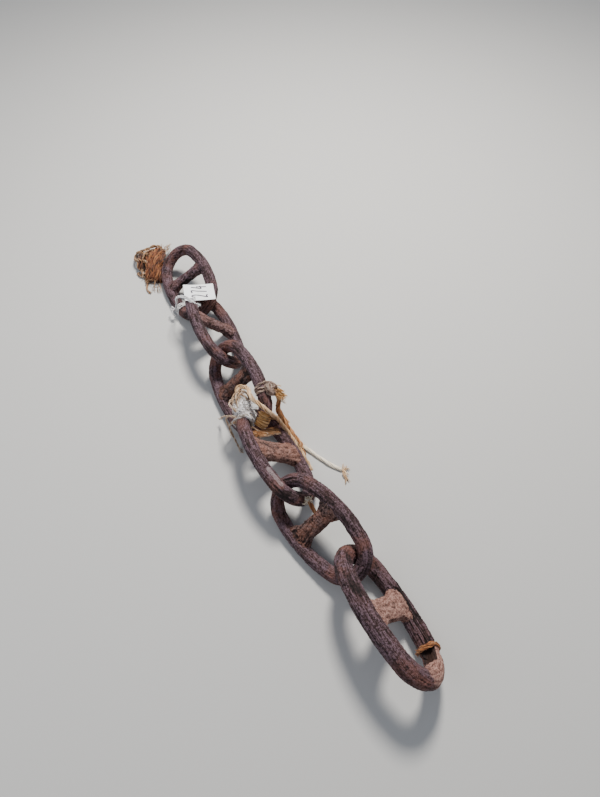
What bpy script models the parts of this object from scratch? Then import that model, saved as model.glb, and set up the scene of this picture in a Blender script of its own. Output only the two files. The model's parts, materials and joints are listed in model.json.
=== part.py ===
"""Six links of old stud-link chain lying hooked together on a level floor, with the ties left on them.

Metres, +Z up. The chain lies along Y: link_1 is the far end at +Y, link_6 the larger end link at -Y.
The origin is on the floor, below the middle of the chain's box.
"""

import math

import bpy
import numpy as np
from mathutils import Matrix, Vector

# Common links, over the outside of the bar
LINK_LENGTH = 0.230
LINK_WIDTH = 0.137
LINK_BAR = 0.026

# End link, over the outside of its heavier bar
END_LENGTH = 0.254
END_WIDTH = 0.150
END_BAR = 0.032

# The last link is the end link. The base link is the one that the others are carried by, both ways.
END_LINK = 6
BASE_LINK = 4

# Radius of the arc at each end of a link, as a share of half its centre line's width
CROWN_FULLNESS = 0.86

# Worn flat along the underside, where a link rests on the floor
WORN_FLAT_DEPTH = 0.0009

# Clear space left between two hooked crowns, between a stud and its bars, and inside a tie
HOOK_CLEARANCE = 0.0006
SEAT_CLEARANCE = 0.0005
TIE_CLEARANCE = 0.0006

# How each link lies: its turn from the chain's line seen from above, and its roll about its length
LINK_TURNS_DEG = (-1.5, -5.5, -1.5, 0.5, 13.0, 3.0)
LINK_ROLLS_DEG = (36.0, -46.0, 51.0, -42.0, 46.0, -48.0)

# How far each link's far end lies to +X of the last link's near end
HOOK_OFFSETS = (0.0075, -0.011, -0.001, -0.018, 0.002)

# Each hinge's upright axis stands this far past the point where the two crowns meet, and swings this far
HINGE_FORWARD = 0.003
SWING_DEG = 10.0

# Studs: waist and foot along the link, place along the link, and slant from foot to foot
STUD_WAISTS = (0.024, 0.028, 0.030, 0.034, 0.032, 0.040)
STUD_FEET = (0.036, 0.042, 0.044, 0.048, 0.054, 0.064)
STUD_PLACES = (-0.015, -0.012, -0.010, -0.006, -0.010, -0.004)
STUD_SLANTS = (0.010, 0.004, 0.010, 0.008, 0.008, 0.002)
STUD_FOOT_EDGE = 0.004
STUD_MIDDLE_SHARE = 0.94

# A stud's faces lie this much below the bar's highest line, on each side
STUD_INSET = 0.0025
END_STUD_INSET = 0.004

# A stud or strap has its waist between its neck and its middle. The neck's place is a share of the window's
# half width, and the rings on its foot's face are shares of the foot.
NECK_AT = 0.45
FOOT_RINGS = (0.35, 0.7)

# Lot tag: a stiff card lying on the bars by the first hook
TAG_LENGTH = 0.068
TAG_WIDTH = 0.054
TAG_THICKNESS = 0.0012
TAG_FROM_HOOK = (-0.0176, -0.0127)
TAG_TURN_DEG = -19.2
TAG_FALL = (-0.127, -0.118)

# A bar whose centre line passes this far outside the card's edge still carries it
TAG_MARGIN = 0.003

# Ties round a bar: where along the link's outline and round the bar they lie, their wall and their swelling
TAG_STRING = {"along": (276, 289), "round": (-18, 270), "wall": 0.0035, "swell": 0.0, "lean": 90}
TWINE_BUNDLE = {"along": (196, 238), "round": (-75, 145), "wall": 0.010, "swell": 0.016, "lean": 35}
ROPE_BAND = {"along": (144, 176), "round": (-45, 140), "wall": 0.006, "swell": 0.001, "lean": 60}
ROPE_KNOT = {"along": (70, 84), "round": (-60, 200), "wall": 0.007, "swell": 0.010, "lean": 25}
CROWN_TWINE = {"along": (66, 75), "round": (-65, 215), "wall": 0.005, "swell": 0.0, "lean": 120}

# A tie's thickness at its two ends, and how far in from its edges its round begins, both as shares
TIE_END_FULLNESS = 0.45
TIE_EDGE = 0.12

# Rope strap across the base link's far window: it fills what the crown hooked there and the stud leave free
STRAP_TO_CROWN = 0.005
STRAP_TO_STUD = 0.004
STRAP_TAPER = 0.002
STRAP_THICKNESS = 0.009
STRAP_FOOT_EDGE = 0.003

# Hank of rope on the floor against link 1's low side, which it follows and then runs straight on
HANK_WIDTH = 0.040
HANK_HEIGHT = 0.034
HANK_WIDEST_AT = 0.45
HANK_MOST_RISE = 0.005
HANK_ALONG = (258, 250, 242, 234, 226, 218)
HANK_RUN_ON = 0.046
HANK_RUN_STEPS = 3
HANK_END_FULLNESS = 0.6
HANK_SIDES = 12

# Loose end of the rope, over the base link's low side and along the floor. Its route is laid out from the
# floor below the base link's middle.
ROPE_DIAMETER = 0.006
ROPE_ROUTE = (
    (0.0294, 0.0869, 0.0435),
    (0.0350, 0.0863, 0.0398),
    (0.0410, 0.0844, 0.0342),
    (0.0461, 0.0811, 0.0270),
    (0.0504, 0.0749, 0.0197),
    (0.0541, 0.0639, 0.0110),
    (0.0571, 0.0519, 0.0050),
    (0.0606, 0.0399, 0.0032),
    (0.0646, 0.0259, 0.0032),
    (0.0696, 0.0109, 0.0032),
    (0.0771, -0.0061, 0.0032),
    (0.0861, -0.0281, 0.0032),
    (0.1006, -0.0551, 0.0032),
    (0.1116, -0.0691, 0.0032),
)
ROPE_STEPS = 2

# Mesh fineness, and the steps that look for where two crowns meet
SIDE_STEPS = 9
CROWN_STEPS = 11
BAR_SIDES = 12
STUD_SIDES = 14
TIE_STEP_DEG = 7
TIE_SIDES = 14
CORD_SIDE_STEPS = 2
SMOOTH_BELOW_DEG = 40
REACH_STEPS = 51
REACH_HALVINGS = 16


class Oval:
    """A link's centre line in its own plane: two crown arcs and two long side arcs that meet smoothly."""

    def __init__(self, length, width, bar):
        self.radius = bar / 2
        self.half_length = (length - bar) / 2
        self.half_width = (width - bar) / 2
        self.crown = CROWN_FULLNESS * self.half_width
        reach = self.half_length - self.crown
        self.side = (reach**2 + self.half_width**2 - self.crown**2) / (2 * (self.half_width - self.crown))
        self.spread = math.atan2(reach, self.side - self.half_width)

    def point(self, angle):
        """The centre line's point whose outward normal is at this angle from the near end."""
        turn = angle % (2 * math.pi)
        normal = Vector((math.cos(turn), math.sin(turn), 0))
        if abs(math.sin(turn)) > math.cos(self.spread):
            centre = Vector((0, math.copysign(self.side - self.half_width, -normal.y), 0))
            return centre + self.side * normal, normal
        centre = Vector((math.copysign(self.half_length - self.crown, normal.x), 0, 0))
        return centre + self.crown * normal, normal

    def angles(self):
        """Normal angles of the stations round the link, evenly spaced on each of its four arcs."""
        crown_half = math.pi / 2 - self.spread
        marks = []
        for start, stop, steps in (
            (-crown_half, crown_half, CROWN_STEPS),
            (crown_half, math.pi - crown_half, SIDE_STEPS),
            (math.pi - crown_half, math.pi + crown_half, CROWN_STEPS),
            (math.pi + crown_half, 2 * math.pi - crown_half, SIDE_STEPS),
        ):
            marks += [start + (stop - start) * step / steps for step in range(steps)]
        return marks

    def side_at(self, x):
        """How far the side bar's centre line stands from the link's axis at this place along it."""
        return self.half_width - self.side + math.sqrt(self.side**2 - x**2)


def ring(centre, normal, radius, sides, lowest):
    """A circle round the bar, in the plane of the bar's own normal and the link plane's normal.

    The middle of one of its sides lies at the angle that is lowest, so that the bar wears flat there.
    """
    up = Vector((0, 0, 1))
    points = []
    for step in range(sides):
        angle = lowest + 2 * math.pi * (step + 0.5) / sides
        points.append(centre + (normal * math.cos(angle) + up * math.sin(angle)) * radius)
    return points


def loop_faces(count, sides):
    """Quads of a tube whose last ring joins its first."""
    faces = []
    for one in range(count):
        two = (one + 1) % count
        for side in range(sides):
            after = (side + 1) % sides
            faces.append((one * sides + side, two * sides + side, two * sides + after, one * sides + after))
    return faces


def material(name, colour, roughness, metallic):
    made = bpy.data.materials.new(name)
    made.use_nodes = True
    shader = made.node_tree.nodes["Principled BSDF"]
    shader.inputs["Base Color"].default_value = (*colour, 1)
    shader.inputs["Roughness"].default_value = roughness
    shader.inputs["Metallic"].default_value = metallic
    return made


def add_mesh(name, points, faces, finish, parent):
    """A mesh object under its body's empty. Its points are given in world space."""
    inverse = parent.matrix_world.inverted()
    mesh = bpy.data.meshes.new(name)
    mesh.from_pydata([inverse @ Vector(point) for point in points], [], faces)
    mesh.update()
    if signed_volume(points, faces) < 0:
        mesh.flip_normals()
    mesh.shade_smooth()
    mesh.set_sharp_from_angle(angle=math.radians(SMOOTH_BELOW_DEG))
    mesh.materials.append(finish)
    thing = bpy.data.objects.new(name, mesh)
    bpy.context.scene.collection.objects.link(thing)
    thing.parent = parent
    return thing


def signed_volume(points, faces):
    total = 0.0
    for face in faces:
        first = Vector(points[face[0]])
        for second, third in zip(face[1:-1], face[2:]):
            total += first.dot(Vector(points[second]).cross(Vector(points[third])))
    return total


def pose(number, oval):
    """The link's turn as a matrix, and the height of its middle when its lower bar lies on the floor."""
    turn = math.radians(LINK_TURNS_DEG[number - 1])
    roll = math.radians(LINK_ROLLS_DEG[number - 1])
    along = Vector((math.sin(turn), -math.cos(turn), 0))
    level = Vector((math.cos(turn), math.sin(turn), 0))
    across = level * math.cos(roll) + Vector((0, 0, math.sin(roll)))
    normal = along.cross(across)
    height = oval.half_width * abs(math.sin(roll)) + oval.radius - WORN_FLAT_DEPTH
    return Matrix((along, across, normal)).transposed(), height


def centre_line(oval, turn, middle, steps=360):
    """Close points of a posed link's centre line, for measuring clearances."""
    points = [oval.point(2 * math.pi * step / steps)[0] for step in range(steps)]
    return np.array([middle + turn @ point for point in points])


def nearest(line_a, line_b):
    """The two lines' nearest points and how far apart they are."""
    apart = np.sqrt(((line_a[:, None, :] - line_b[None, :, :]) ** 2).sum(axis=2))
    one, two = np.unravel_index(apart.argmin(), apart.shape)
    return Vector(line_a[one]), Vector(line_b[two]), float(apart[one, two])


def hook_on(last, oval, turn, height, offset):
    """Pulls a link tight against the last one's near crown. Gives its middle and the foot of the hinge."""
    near = last["middle"] + last["turn"] @ Vector((last["oval"].half_length, 0, 0))
    line = centre_line(last["oval"], last["turn"], last["middle"])
    shape = centre_line(oval, turn, Vector((0, 0, 0)))
    heading = (last["turn"].col[0] + turn.col[0]).normalized()
    sideways = Vector((-heading.y, heading.x, 0))
    wanted = last["oval"].radius + oval.radius + HOOK_CLEARANCE

    def middle_at(reach):
        middle = near - heading * reach + sideways * offset + turn @ Vector((oval.half_length, 0, 0))
        middle.z = height
        return middle

    def clear_at(reach):
        return nearest(line, shape + np.array(middle_at(reach)))[2] >= wanted

    reaches = np.linspace(wanted / 2, 3 * wanted, REACH_STEPS)
    loose = next((reach for reach in reaches if clear_at(reach)), reaches[-1])
    tight = loose - (reaches[1] - reaches[0])
    for _ in range(REACH_HALVINGS):
        reach = (tight + loose) / 2
        if clear_at(reach):
            loose = reach
        else:
            tight = reach
    middle = middle_at(loose)
    one, two, _ = nearest(line, shape + np.array(middle))
    across_gap = Vector((two.x - one.x, two.y - one.y, 0)).normalized()
    return middle, (one + two) / 2 + across_gap * HINGE_FORWARD


def lay_chain():
    """Places the links one after the other, each crown hooked behind the last one's."""
    placed = []
    for number in range(1, END_LINK + 1):
        if number == END_LINK:
            oval = Oval(END_LENGTH, END_WIDTH, END_BAR)
        else:
            oval = Oval(LINK_LENGTH, LINK_WIDTH, LINK_BAR)
        turn, height = pose(number, oval)
        middle, hook = Vector((0, 0, height)), None
        if placed:
            middle, hook = hook_on(placed[-1], oval, turn, height, HOOK_OFFSETS[number - 2])
        lowest = math.radians(abs(LINK_ROLLS_DEG[number - 1]) - 90)
        placed.append({"oval": oval, "turn": turn, "middle": middle, "hook": hook, "lowest": lowest})
    return placed


def to_world(link, point):
    return link["middle"] + link["turn"] @ Vector(point)


def link_points(link):
    oval = link["oval"]
    points = []
    for angle in oval.angles():
        centre, normal = oval.point(angle)
        circle = ring(centre, normal, oval.radius, BAR_SIDES, link["lowest"])
        points += [to_world(link, point) for point in circle]
    for point in points:
        point.z = max(point.z, 0.0)
    return points, loop_faces(len(oval.angles()), BAR_SIDES)


def bridge_points(link, place, slant, waist, foot, half_thick, foot_edge):
    """A piece across the window: a waisted body whose feet are hollowed to sit against both bars."""
    oval = link["oval"]
    reach = oval.radius + SEAT_CLEARANCE

    def seat(x, z):
        lean = math.sqrt(1 - (x / oval.side) ** 2)
        return oval.side_at(x) - math.sqrt(reach**2 - z**2) / lean

    def outline(y_share, half_foot, shrink=1.0):
        for step in range(STUD_SIDES):
            angle = 2 * math.pi * step / STUD_SIDES
            x = place + slant * y_share + half_foot * shrink * math.cos(angle)
            yield x, half_thick * shrink * math.sin(angle)

    rings = []
    for end in (-1, 1):
        face = [(x, end * seat(x, z), z) for x, z in outline(end, foot / 2)]
        tip = [(place + slant * end, end * seat(place + slant * end, 0), 0)]
        face = [[(x, end * seat(x, z), z) for x, z in outline(end, foot / 2, share)] for share in (*FOOT_RINGS, 1)]
        back = [(x, y - end * foot_edge, z) for x, y, z in face[-1]]
        neck_y = end * NECK_AT * oval.side_at(place)
        neck = [(x, neck_y, z) for x, z in outline(NECK_AT * end, waist / 2)]
        rings.append((tip, *face, back, neck))
    first, second = rings
    middle = [(x, 0.0, z) for x, z in outline(0, waist / 2, STUD_MIDDLE_SHARE)]
    order = list(first[1:]) + [middle] + list(second[:0:-1])
    points = [point for one in order for point in one]
    faces = []
    for one in range(len(order) - 1):
        for side in range(STUD_SIDES):
            after = (side + 1) % STUD_SIDES
            low, high = one * STUD_SIDES, (one + 1) * STUD_SIDES
            faces.append((low + side, low + after, high + after, high + side))
    points += first[0] + second[0]
    start, stop = len(points) - 2, len(points) - 1
    last = (len(order) - 1) * STUD_SIDES
    for side in range(STUD_SIDES):
        after = (side + 1) % STUD_SIDES
        faces.append((after, side, start))
        faces.append((last + side, last + after, stop))
    return [to_world(link, point) for point in points], faces


def tube_faces(count, sides):
    """Quads of an open tube of rings, and one face over each end."""
    faces = [tuple(range(sides)), tuple(range(count * sides - 1, (count - 1) * sides - 1, -1))]
    for one in range(count - 1):
        for side in range(sides):
            after = (side + 1) % sides
            low, high = one * sides, (one + 1) * sides
            faces.append((low + side, high + side, high + after, low + after))
    return faces


def tie_points(link, tie):
    """A wrap that hugs part of the bar's round, thickest in its middle and swollen towards its lean."""
    oval = link["oval"]
    bore = oval.radius + TIE_CLEARANCE
    lean = math.radians(tie["lean"])
    start, stop = tie["along"]
    open_at, close_at = tie["round"]
    count = max(3, round(abs(stop - start) / TIE_STEP_DEG) + 1)
    points = []
    for step in range(count):
        share = step / (count - 1)
        centre, normal = oval.point(math.radians(start + (stop - start) * share))
        fullness = TIE_END_FULLNESS + (1 - TIE_END_FULLNESS) * math.sin(math.pi * share)
        up = Vector((0, 0, 1))
        outer, inner = [], []
        for side in range(TIE_SIDES):
            angle = math.radians(open_at + (close_at - open_at) * side / (TIE_SIDES - 1))
            out = normal * math.cos(angle) + up * math.sin(angle)
            edge = math.sin(math.pi * (TIE_EDGE + (1 - 2 * TIE_EDGE) * side / (TIE_SIDES - 1)))
            bulge = normal * math.cos(lean) + up * math.sin(lean)
            thick = tie["wall"] * fullness * edge
            outer.append(centre + out * (bore + thick) + bulge * tie["swell"] * fullness * edge)
            inner.append(centre + out * bore)
        points += [to_world(link, point) for point in outer + inner[::-1]]
    for point in points:
        point.z = max(point.z, 0.0)
    return points, tube_faces(count, 2 * TIE_SIDES)


def hank_points(link):
    """The hank: a flat-bottomed body on the floor, kept its own clearance away from the low bar beside it."""
    oval = link["oval"]
    count = len(HANK_ALONG) + HANK_RUN_STEPS
    swelling = [math.sin(math.pi * index / (count - 1)) for index in range(count)]
    fullness = [HANK_END_FULLNESS + (1 - HANK_END_FULLNESS) * share for share in swelling]
    path = []
    for station, share in zip(HANK_ALONG, fullness):
        centre, normal = oval.point(math.radians(station))
        place = to_world(link, centre)
        outwards = link["turn"] @ normal
        outwards = Vector((outwards.x, outwards.y, 0)).normalized()
        reach = oval.radius + TIE_CLEARANCE
        rise = min(abs(place.z - HANK_WIDEST_AT * share * HANK_HEIGHT), HANK_MOST_RISE)
        away = math.sqrt(reach**2 - rise**2) + share * HANK_WIDTH / 2
        path.append(Vector((place.x, place.y, 0)) + outwards * away)
    onwards = (path[-1] - path[-2]).normalized()
    corner = path[-1]
    for step in range(1, HANK_RUN_STEPS + 1):
        path.append(corner + onwards * HANK_RUN_ON * step / HANK_RUN_STEPS)
    points = []
    for index, place in enumerate(path):
        ahead = (path[min(index + 1, count - 1)] - path[max(index - 1, 0)]).normalized()
        across = Vector((ahead.y, -ahead.x, 0))
        for side in range(HANK_SIDES):
            angle = 2 * math.pi * side / HANK_SIDES
            height = HANK_HEIGHT * fullness[index] * (HANK_WIDEST_AT + (1 - HANK_WIDEST_AT) * math.sin(angle))
            width = HANK_WIDTH / 2 * fullness[index] * math.cos(angle)
            points.append(place + across * width + Vector((0, 0, max(height, 0.0))))
    return points, tube_faces(len(path), HANK_SIDES)


def swung(line, hook, degrees):
    """The centre line turned about the hook's upright axis."""
    turn = Matrix.Rotation(math.radians(degrees), 3, "Z")
    return [hook + turn @ (Vector(point) - hook) for point in line]


def tag_points(link, follower):
    """The card, high enough to clear both links below it wherever the second one swings."""
    hook = follower["hook"]
    across = Matrix.Rotation(math.radians(TAG_TURN_DEG), 3, "Z") @ Vector((1, 0, TAG_FALL[0]))
    along = Matrix.Rotation(math.radians(TAG_TURN_DEG), 3, "Z") @ Vector((0, 1, TAG_FALL[1]))
    across.normalize()
    normal = across.cross(along).normalized()
    along = normal.cross(across)
    middle = Vector((hook.x + TAG_FROM_HOOK[0], hook.y + TAG_FROM_HOOK[1], 0))
    line = centre_line(link["oval"], link["turn"], link["middle"])
    lines = [(line, link["oval"].radius)]
    line = centre_line(follower["oval"], follower["turn"], follower["middle"])
    for share in (-1.0, -0.5, 0.0, 0.5, 1.0):
        lines.append((swung(line, hook, SWING_DEG * share), follower["oval"].radius))
    for line, radius in lines:
        for point in line:
            point = Vector(point)
            reach = (point - middle).dot(normal) + radius + SEAT_CLEARANCE
            on_card = point - middle
            inside = abs(on_card.dot(across)) < TAG_LENGTH / 2 + TAG_MARGIN
            if inside and abs(on_card.dot(along)) < TAG_WIDTH / 2 + TAG_MARGIN and reach > 0:
                middle = middle + Vector((0, 0, reach / normal.z))
    middle.z += TAG_THICKNESS / 2
    points = []
    for up in (-0.5, 0.5):
        for x, y in ((-0.5, -0.5), (0.5, -0.5), (0.5, 0.5), (-0.5, 0.5)):
            points.append(middle + across * TAG_LENGTH * x + along * TAG_WIDTH * y + normal * TAG_THICKNESS * up)
    faces = [(3, 2, 1, 0), (4, 5, 6, 7), (0, 1, 5, 4), (1, 2, 6, 5), (2, 3, 7, 6), (3, 0, 4, 7)]
    return points, faces


def smooth_route(route, steps):
    """Points of a smooth curve through the route's own points."""
    knots = [Vector(point) for point in route]
    knots = [2 * knots[0] - knots[1]] + knots + [2 * knots[-1] - knots[-2]]
    smooth = []
    for one, two, three, four in zip(knots, knots[1:], knots[2:], knots[3:]):
        for step in range(steps):
            t = step / steps
            bend = 2 * one - 5 * two + 4 * three - four
            twist = 3 * two - one - 3 * three + four
            smooth.append(two + 0.5 * ((three - one) * t + bend * t**2 + twist * t**3))
    smooth.append(knots[-2])
    return smooth


def add_rope(name, finish, parent):
    """The rope's loose end: a tube along its route, which is laid out from its parent's place."""
    curve = bpy.data.curves.new(name, "CURVE")
    curve.dimensions = "3D"
    curve.bevel_depth = ROPE_DIAMETER / 2
    curve.bevel_resolution = CORD_SIDE_STEPS
    curve.use_fill_caps = True
    places = smooth_route(ROPE_ROUTE, ROPE_STEPS)
    spline = curve.splines.new("POLY")
    spline.points.add(len(places) - 1)
    for point, place in zip(spline.points, places):
        point.co = (*place, 1)
    curve.materials.append(finish)
    rope = bpy.data.objects.new(name, curve)
    bpy.context.scene.collection.objects.link(rope)
    rope.parent = parent


def add_empty(name, place, parent):
    empty = bpy.data.objects.new(name, None)
    bpy.context.scene.collection.objects.link(empty)
    empty.parent = parent
    empty.location = place if parent is None else place - parent.matrix_world.translation
    bpy.context.view_layer.update()
    return empty


def centre_on_origin(links, pieces):
    """Moves the chain so that the box of all its pieces but the rope's loose end stands centred on the origin."""
    points = [point for points, *_ in pieces.values() for point in points]
    low = Vector([min(point[axis] for point in points) for axis in range(3)])
    high = Vector([max(point[axis] for point in points) for axis in range(3)])
    shift = Vector(((low.x + high.x) / 2, (low.y + high.y) / 2, 0))
    for place in points:
        place -= shift
    for link in links:
        link["middle"] = link["middle"] - shift
        if link["hook"] is not None:
            link["hook"] = link["hook"] - shift


def add_bodies(links):
    """One empty for each link, on the hinge that carries it. The base link carries the others both ways."""
    middle = links[BASE_LINK - 1]["middle"]
    bodies = {BASE_LINK: add_empty("chain_base", Vector((middle.x, middle.y, 0)), None)}
    for number in range(BASE_LINK - 1, 0, -1):
        bodies[number] = add_empty(f"hinge_{number}_{number + 1}", links[number]["hook"], bodies[number + 1])
    for number in range(BASE_LINK + 1, END_LINK + 1):
        bodies[number] = add_empty(f"hinge_{number - 1}_{number}", links[number - 1]["hook"], bodies[number - 1])
    return bodies


def make_finishes():
    return {
        "iron": material("rusted_iron", (0.115, 0.082, 0.075), 0.72, 0.35),
        "stud": material("rusted_stud_iron", (0.22, 0.125, 0.10), 0.85, 0.2),
        "rope": material("brown_rope", (0.44, 0.23, 0.10), 0.95, 0.0),
        "twine": material("pale_twine", (0.72, 0.69, 0.62), 0.95, 0.0),
        "card": material("card", (0.85, 0.86, 0.84), 0.8, 0.0),
    }


def shape_pieces(links):
    """Every solid but the rope's loose end: its points, faces, finish, and the number of the link it moves with."""
    pieces = {}
    for number, link in enumerate(links, start=1):
        stud = bridge_points(
            link,
            STUD_PLACES[number - 1],
            STUD_SLANTS[number - 1],
            STUD_WAISTS[number - 1],
            STUD_FEET[number - 1],
            link["oval"].radius - (END_STUD_INSET if number == END_LINK else STUD_INSET),
            STUD_FOOT_EDGE,
        )
        pieces[f"link_{number}"] = (*link_points(link), "iron", number)
        pieces[f"stud_{number}"] = (*stud, "stud", number)
    first, second, third, base, end = (links[number - 1] for number in (1, 2, 3, BASE_LINK, END_LINK))
    start = 2 * third["oval"].radius - (base["oval"].half_length - base["oval"].radius) + STRAP_TO_CROWN
    stop = STUD_PLACES[BASE_LINK - 1] - STUD_SLANTS[BASE_LINK - 1] - STUD_FEET[BASE_LINK - 1] / 2 - STRAP_TO_STUD
    foot = stop - start
    strap = bridge_points(
        base, (start + stop) / 2, 0.0, foot - STRAP_TAPER, foot, STRAP_THICKNESS / 2, STRAP_FOOT_EDGE
    )
    pieces["rope_strap"] = (*strap, "rope", BASE_LINK)
    pieces["rope_band"] = (*tie_points(base, ROPE_BAND), "rope", BASE_LINK)
    pieces["twine_bundle"] = (*tie_points(base, TWINE_BUNDLE), "twine", BASE_LINK)
    pieces["rope_knot"] = (*tie_points(third, ROPE_KNOT), "rope", 3)
    pieces["rope_hank"] = (*hank_points(first), "rope", 1)
    pieces["tag_string"] = (*tie_points(first, TAG_STRING), "twine", 1)
    pieces["lot_tag"] = (*tag_points(first, second), "card", 1)
    pieces["crown_twine"] = (*tie_points(end, CROWN_TWINE), "rope", END_LINK)
    return pieces


def build():
    for old in list(bpy.data.objects):
        bpy.data.objects.remove(old, do_unlink=True)
    finishes = make_finishes()
    links = lay_chain()
    pieces = shape_pieces(links)
    centre_on_origin(links, pieces)
    bodies = add_bodies(links)
    for name, (points, faces, finish, number) in pieces.items():
        add_mesh(name, points, faces, finishes[finish], bodies[number])
    add_rope("rope_tail", finishes["twine"], bodies[BASE_LINK])


build()
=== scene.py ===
"""A length of old rusted stud-link chain on a pale floor, with its tag and the rope and twine left on it."""

import json
import math
import random

import bmesh
import bpy
import numpy as np
from mathutils import Matrix, Vector

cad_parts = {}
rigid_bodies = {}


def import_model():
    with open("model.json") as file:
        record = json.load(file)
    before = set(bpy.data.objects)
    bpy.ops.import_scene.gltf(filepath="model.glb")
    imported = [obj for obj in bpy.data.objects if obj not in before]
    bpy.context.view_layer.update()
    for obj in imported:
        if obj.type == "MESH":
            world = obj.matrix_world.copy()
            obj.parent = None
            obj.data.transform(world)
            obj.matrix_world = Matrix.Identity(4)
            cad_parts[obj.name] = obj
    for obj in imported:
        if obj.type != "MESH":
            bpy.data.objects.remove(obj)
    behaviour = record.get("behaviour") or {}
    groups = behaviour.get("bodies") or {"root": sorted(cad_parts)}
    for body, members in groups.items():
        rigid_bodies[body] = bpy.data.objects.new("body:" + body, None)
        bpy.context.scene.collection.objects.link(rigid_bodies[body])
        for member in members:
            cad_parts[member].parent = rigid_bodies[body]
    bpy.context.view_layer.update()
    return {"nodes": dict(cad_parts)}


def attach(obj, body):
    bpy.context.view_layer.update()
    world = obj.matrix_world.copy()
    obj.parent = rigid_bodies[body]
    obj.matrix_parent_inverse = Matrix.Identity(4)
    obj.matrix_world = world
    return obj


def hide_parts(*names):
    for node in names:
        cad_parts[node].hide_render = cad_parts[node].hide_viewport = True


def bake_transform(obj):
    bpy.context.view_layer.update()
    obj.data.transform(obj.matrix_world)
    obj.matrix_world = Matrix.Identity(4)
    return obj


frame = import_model()

# Camera: it looks down steeply on the chain from beside its end link, about a metre over the floor. Its
# place, its aim and its lens were found from points of the chain in the photograph.
CAMERA_PLACE = Vector((-0.2048, -0.5362, 0.9699))
CAMERA_AZIMUTH = math.radians(29.21)
CAMERA_PITCH = math.radians(56.79)
CAMERA_ROLL = math.radians(-0.96)
FOCAL_PIXELS = 530.6
PICTURE_PIXELS_WIDE = 600

forward = Vector((
    math.sin(CAMERA_AZIMUTH) * math.cos(CAMERA_PITCH),
    math.cos(CAMERA_AZIMUTH) * math.cos(CAMERA_PITCH),
    -math.sin(CAMERA_PITCH),
))
level = Vector((math.cos(CAMERA_AZIMUTH), -math.sin(CAMERA_AZIMUTH), 0))
right = math.cos(CAMERA_ROLL) * level - math.sin(CAMERA_ROLL) * level.cross(forward)
lens = bpy.data.cameras.new("camera")
lens.sensor_fit = "HORIZONTAL"
lens.lens = FOCAL_PIXELS / PICTURE_PIXELS_WIDE * lens.sensor_width
camera = bpy.data.objects.new("camera", lens)
bpy.context.scene.collection.objects.link(camera)
turn = Matrix((right, right.cross(forward), -forward)).transposed().to_4x4()
camera.matrix_world = Matrix.Translation(CAMERA_PLACE) @ turn
bpy.context.scene.camera = camera


# Floor and light: a plain pale floor that runs far past the chain, a broad soft lamp overhead, and a cooler
# one on the near side, in a pale room.
FLOOR_REACH = 6.0
FLOOR_COLOUR = (0.55, 0.54, 0.52)
FLOOR_ROUGHNESS = 0.9
ROOM_COLOUR = (0.80, 0.87, 1.0)
ROOM_STRENGTH = 0.38
LAMPS = (
    ("lamp_overhead", (0.8, 0.9, 1.9), 0.5, 85, (1.0, 0.97, 0.92)),
    ("lamp_beside", (-1.6, 0.3, 1.4), 1.6, 12, (0.88, 0.93, 1.0)),
)


def made_material(name):
    """A new node material, its tree, and its shader."""
    made = bpy.data.materials.new(name)
    made.use_nodes = True
    return made, made.node_tree, made.node_tree.nodes["Principled BSDF"]


floor_mesh = bpy.data.meshes.new("floor")
corners = [(x * FLOOR_REACH, y * FLOOR_REACH, 0) for x, y in ((-1, -1), (1, -1), (1, 1), (-1, 1))]
floor_mesh.from_pydata(corners, [], [(0, 1, 2, 3)])
floor = bpy.data.objects.new("floor", floor_mesh)
bpy.context.scene.collection.objects.link(floor)
floor_paint, _, floor_shader = made_material("floor_paint")
floor_shader.inputs["Base Color"].default_value = (*FLOOR_COLOUR, 1)
floor_shader.inputs["Roughness"].default_value = FLOOR_ROUGHNESS
floor_mesh.materials.append(floor_paint)

room = bpy.data.worlds.new("room")
bpy.context.scene.world = room
room.use_nodes = True
room.node_tree.nodes["Background"].inputs["Color"].default_value = (*ROOM_COLOUR, 1)
room.node_tree.nodes["Background"].inputs["Strength"].default_value = ROOM_STRENGTH
for name, place, width, power, colour in LAMPS:
    light = bpy.data.lights.new(name, "AREA")
    light.shape = "DISK"
    light.size = width
    light.energy = power
    light.color = colour
    lamp = bpy.data.objects.new(name, light)
    bpy.context.scene.collection.objects.link(lamp)
    lamp.location = place
    lamp.rotation_euler = (-Vector(place)).to_track_quat("-Z", "Y").to_euler()


# Links: iron bar bent to an oval, forge-welded, and rusted for a long time. The bar's own long fibres stand
# out, layers of scale have come away, and the crowns have worn and rusted to a pinker brown. Sizes are over
# the bar.
LINK_LENGTH, LINK_WIDTH, LINK_BAR = 0.230, 0.137, 0.026
END_LENGTH, END_WIDTH, END_BAR = 0.254, 0.150, 0.032
CROWN_FULLNESS = 0.86
LINKS = [f"link_{number}" for number in range(1, 7)]
END_LINK = LINKS[-1]
BODY_OF = {name: node.parent.name.removeprefix("body:") for name, node in frame["nodes"].items()}
OUTLINE_POINTS = 240
QUAD_SIZE = 0.0012
FIBRE_STRETCH = 4.5
LONG_FIBRES = (0.4, 0.4, 1.0)
LINK_SEED_STEP = 3.1
RIDGE_HALF_WIDTH = 0.12
RIDGE_STEEPNESS = 6.0
SPOT_SMOOTHNESS = 0.35
MILLIMETRES = 1000.0

# How many of each kind of mark there are along a metre
PATCHES_PER_METRE = 28.0
LUMPS_PER_METRE = 30.0
LAYERS_PER_METRE = 75.0
SEAMS_PER_METRE = 115.0
RAGGED_PER_METRE = 140.0
PITS_PER_METRE = 240.0
STRANDS_PER_METRE = 330.0
GRAINS_PER_METRE = 330.0
CRUMBS_PER_METRE = 400.0
SPECKS_PER_METRE = 420.0
THREADS_PER_METRE = 430.0
FINE_GRAINS_PER_METRE = 900.0

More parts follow.
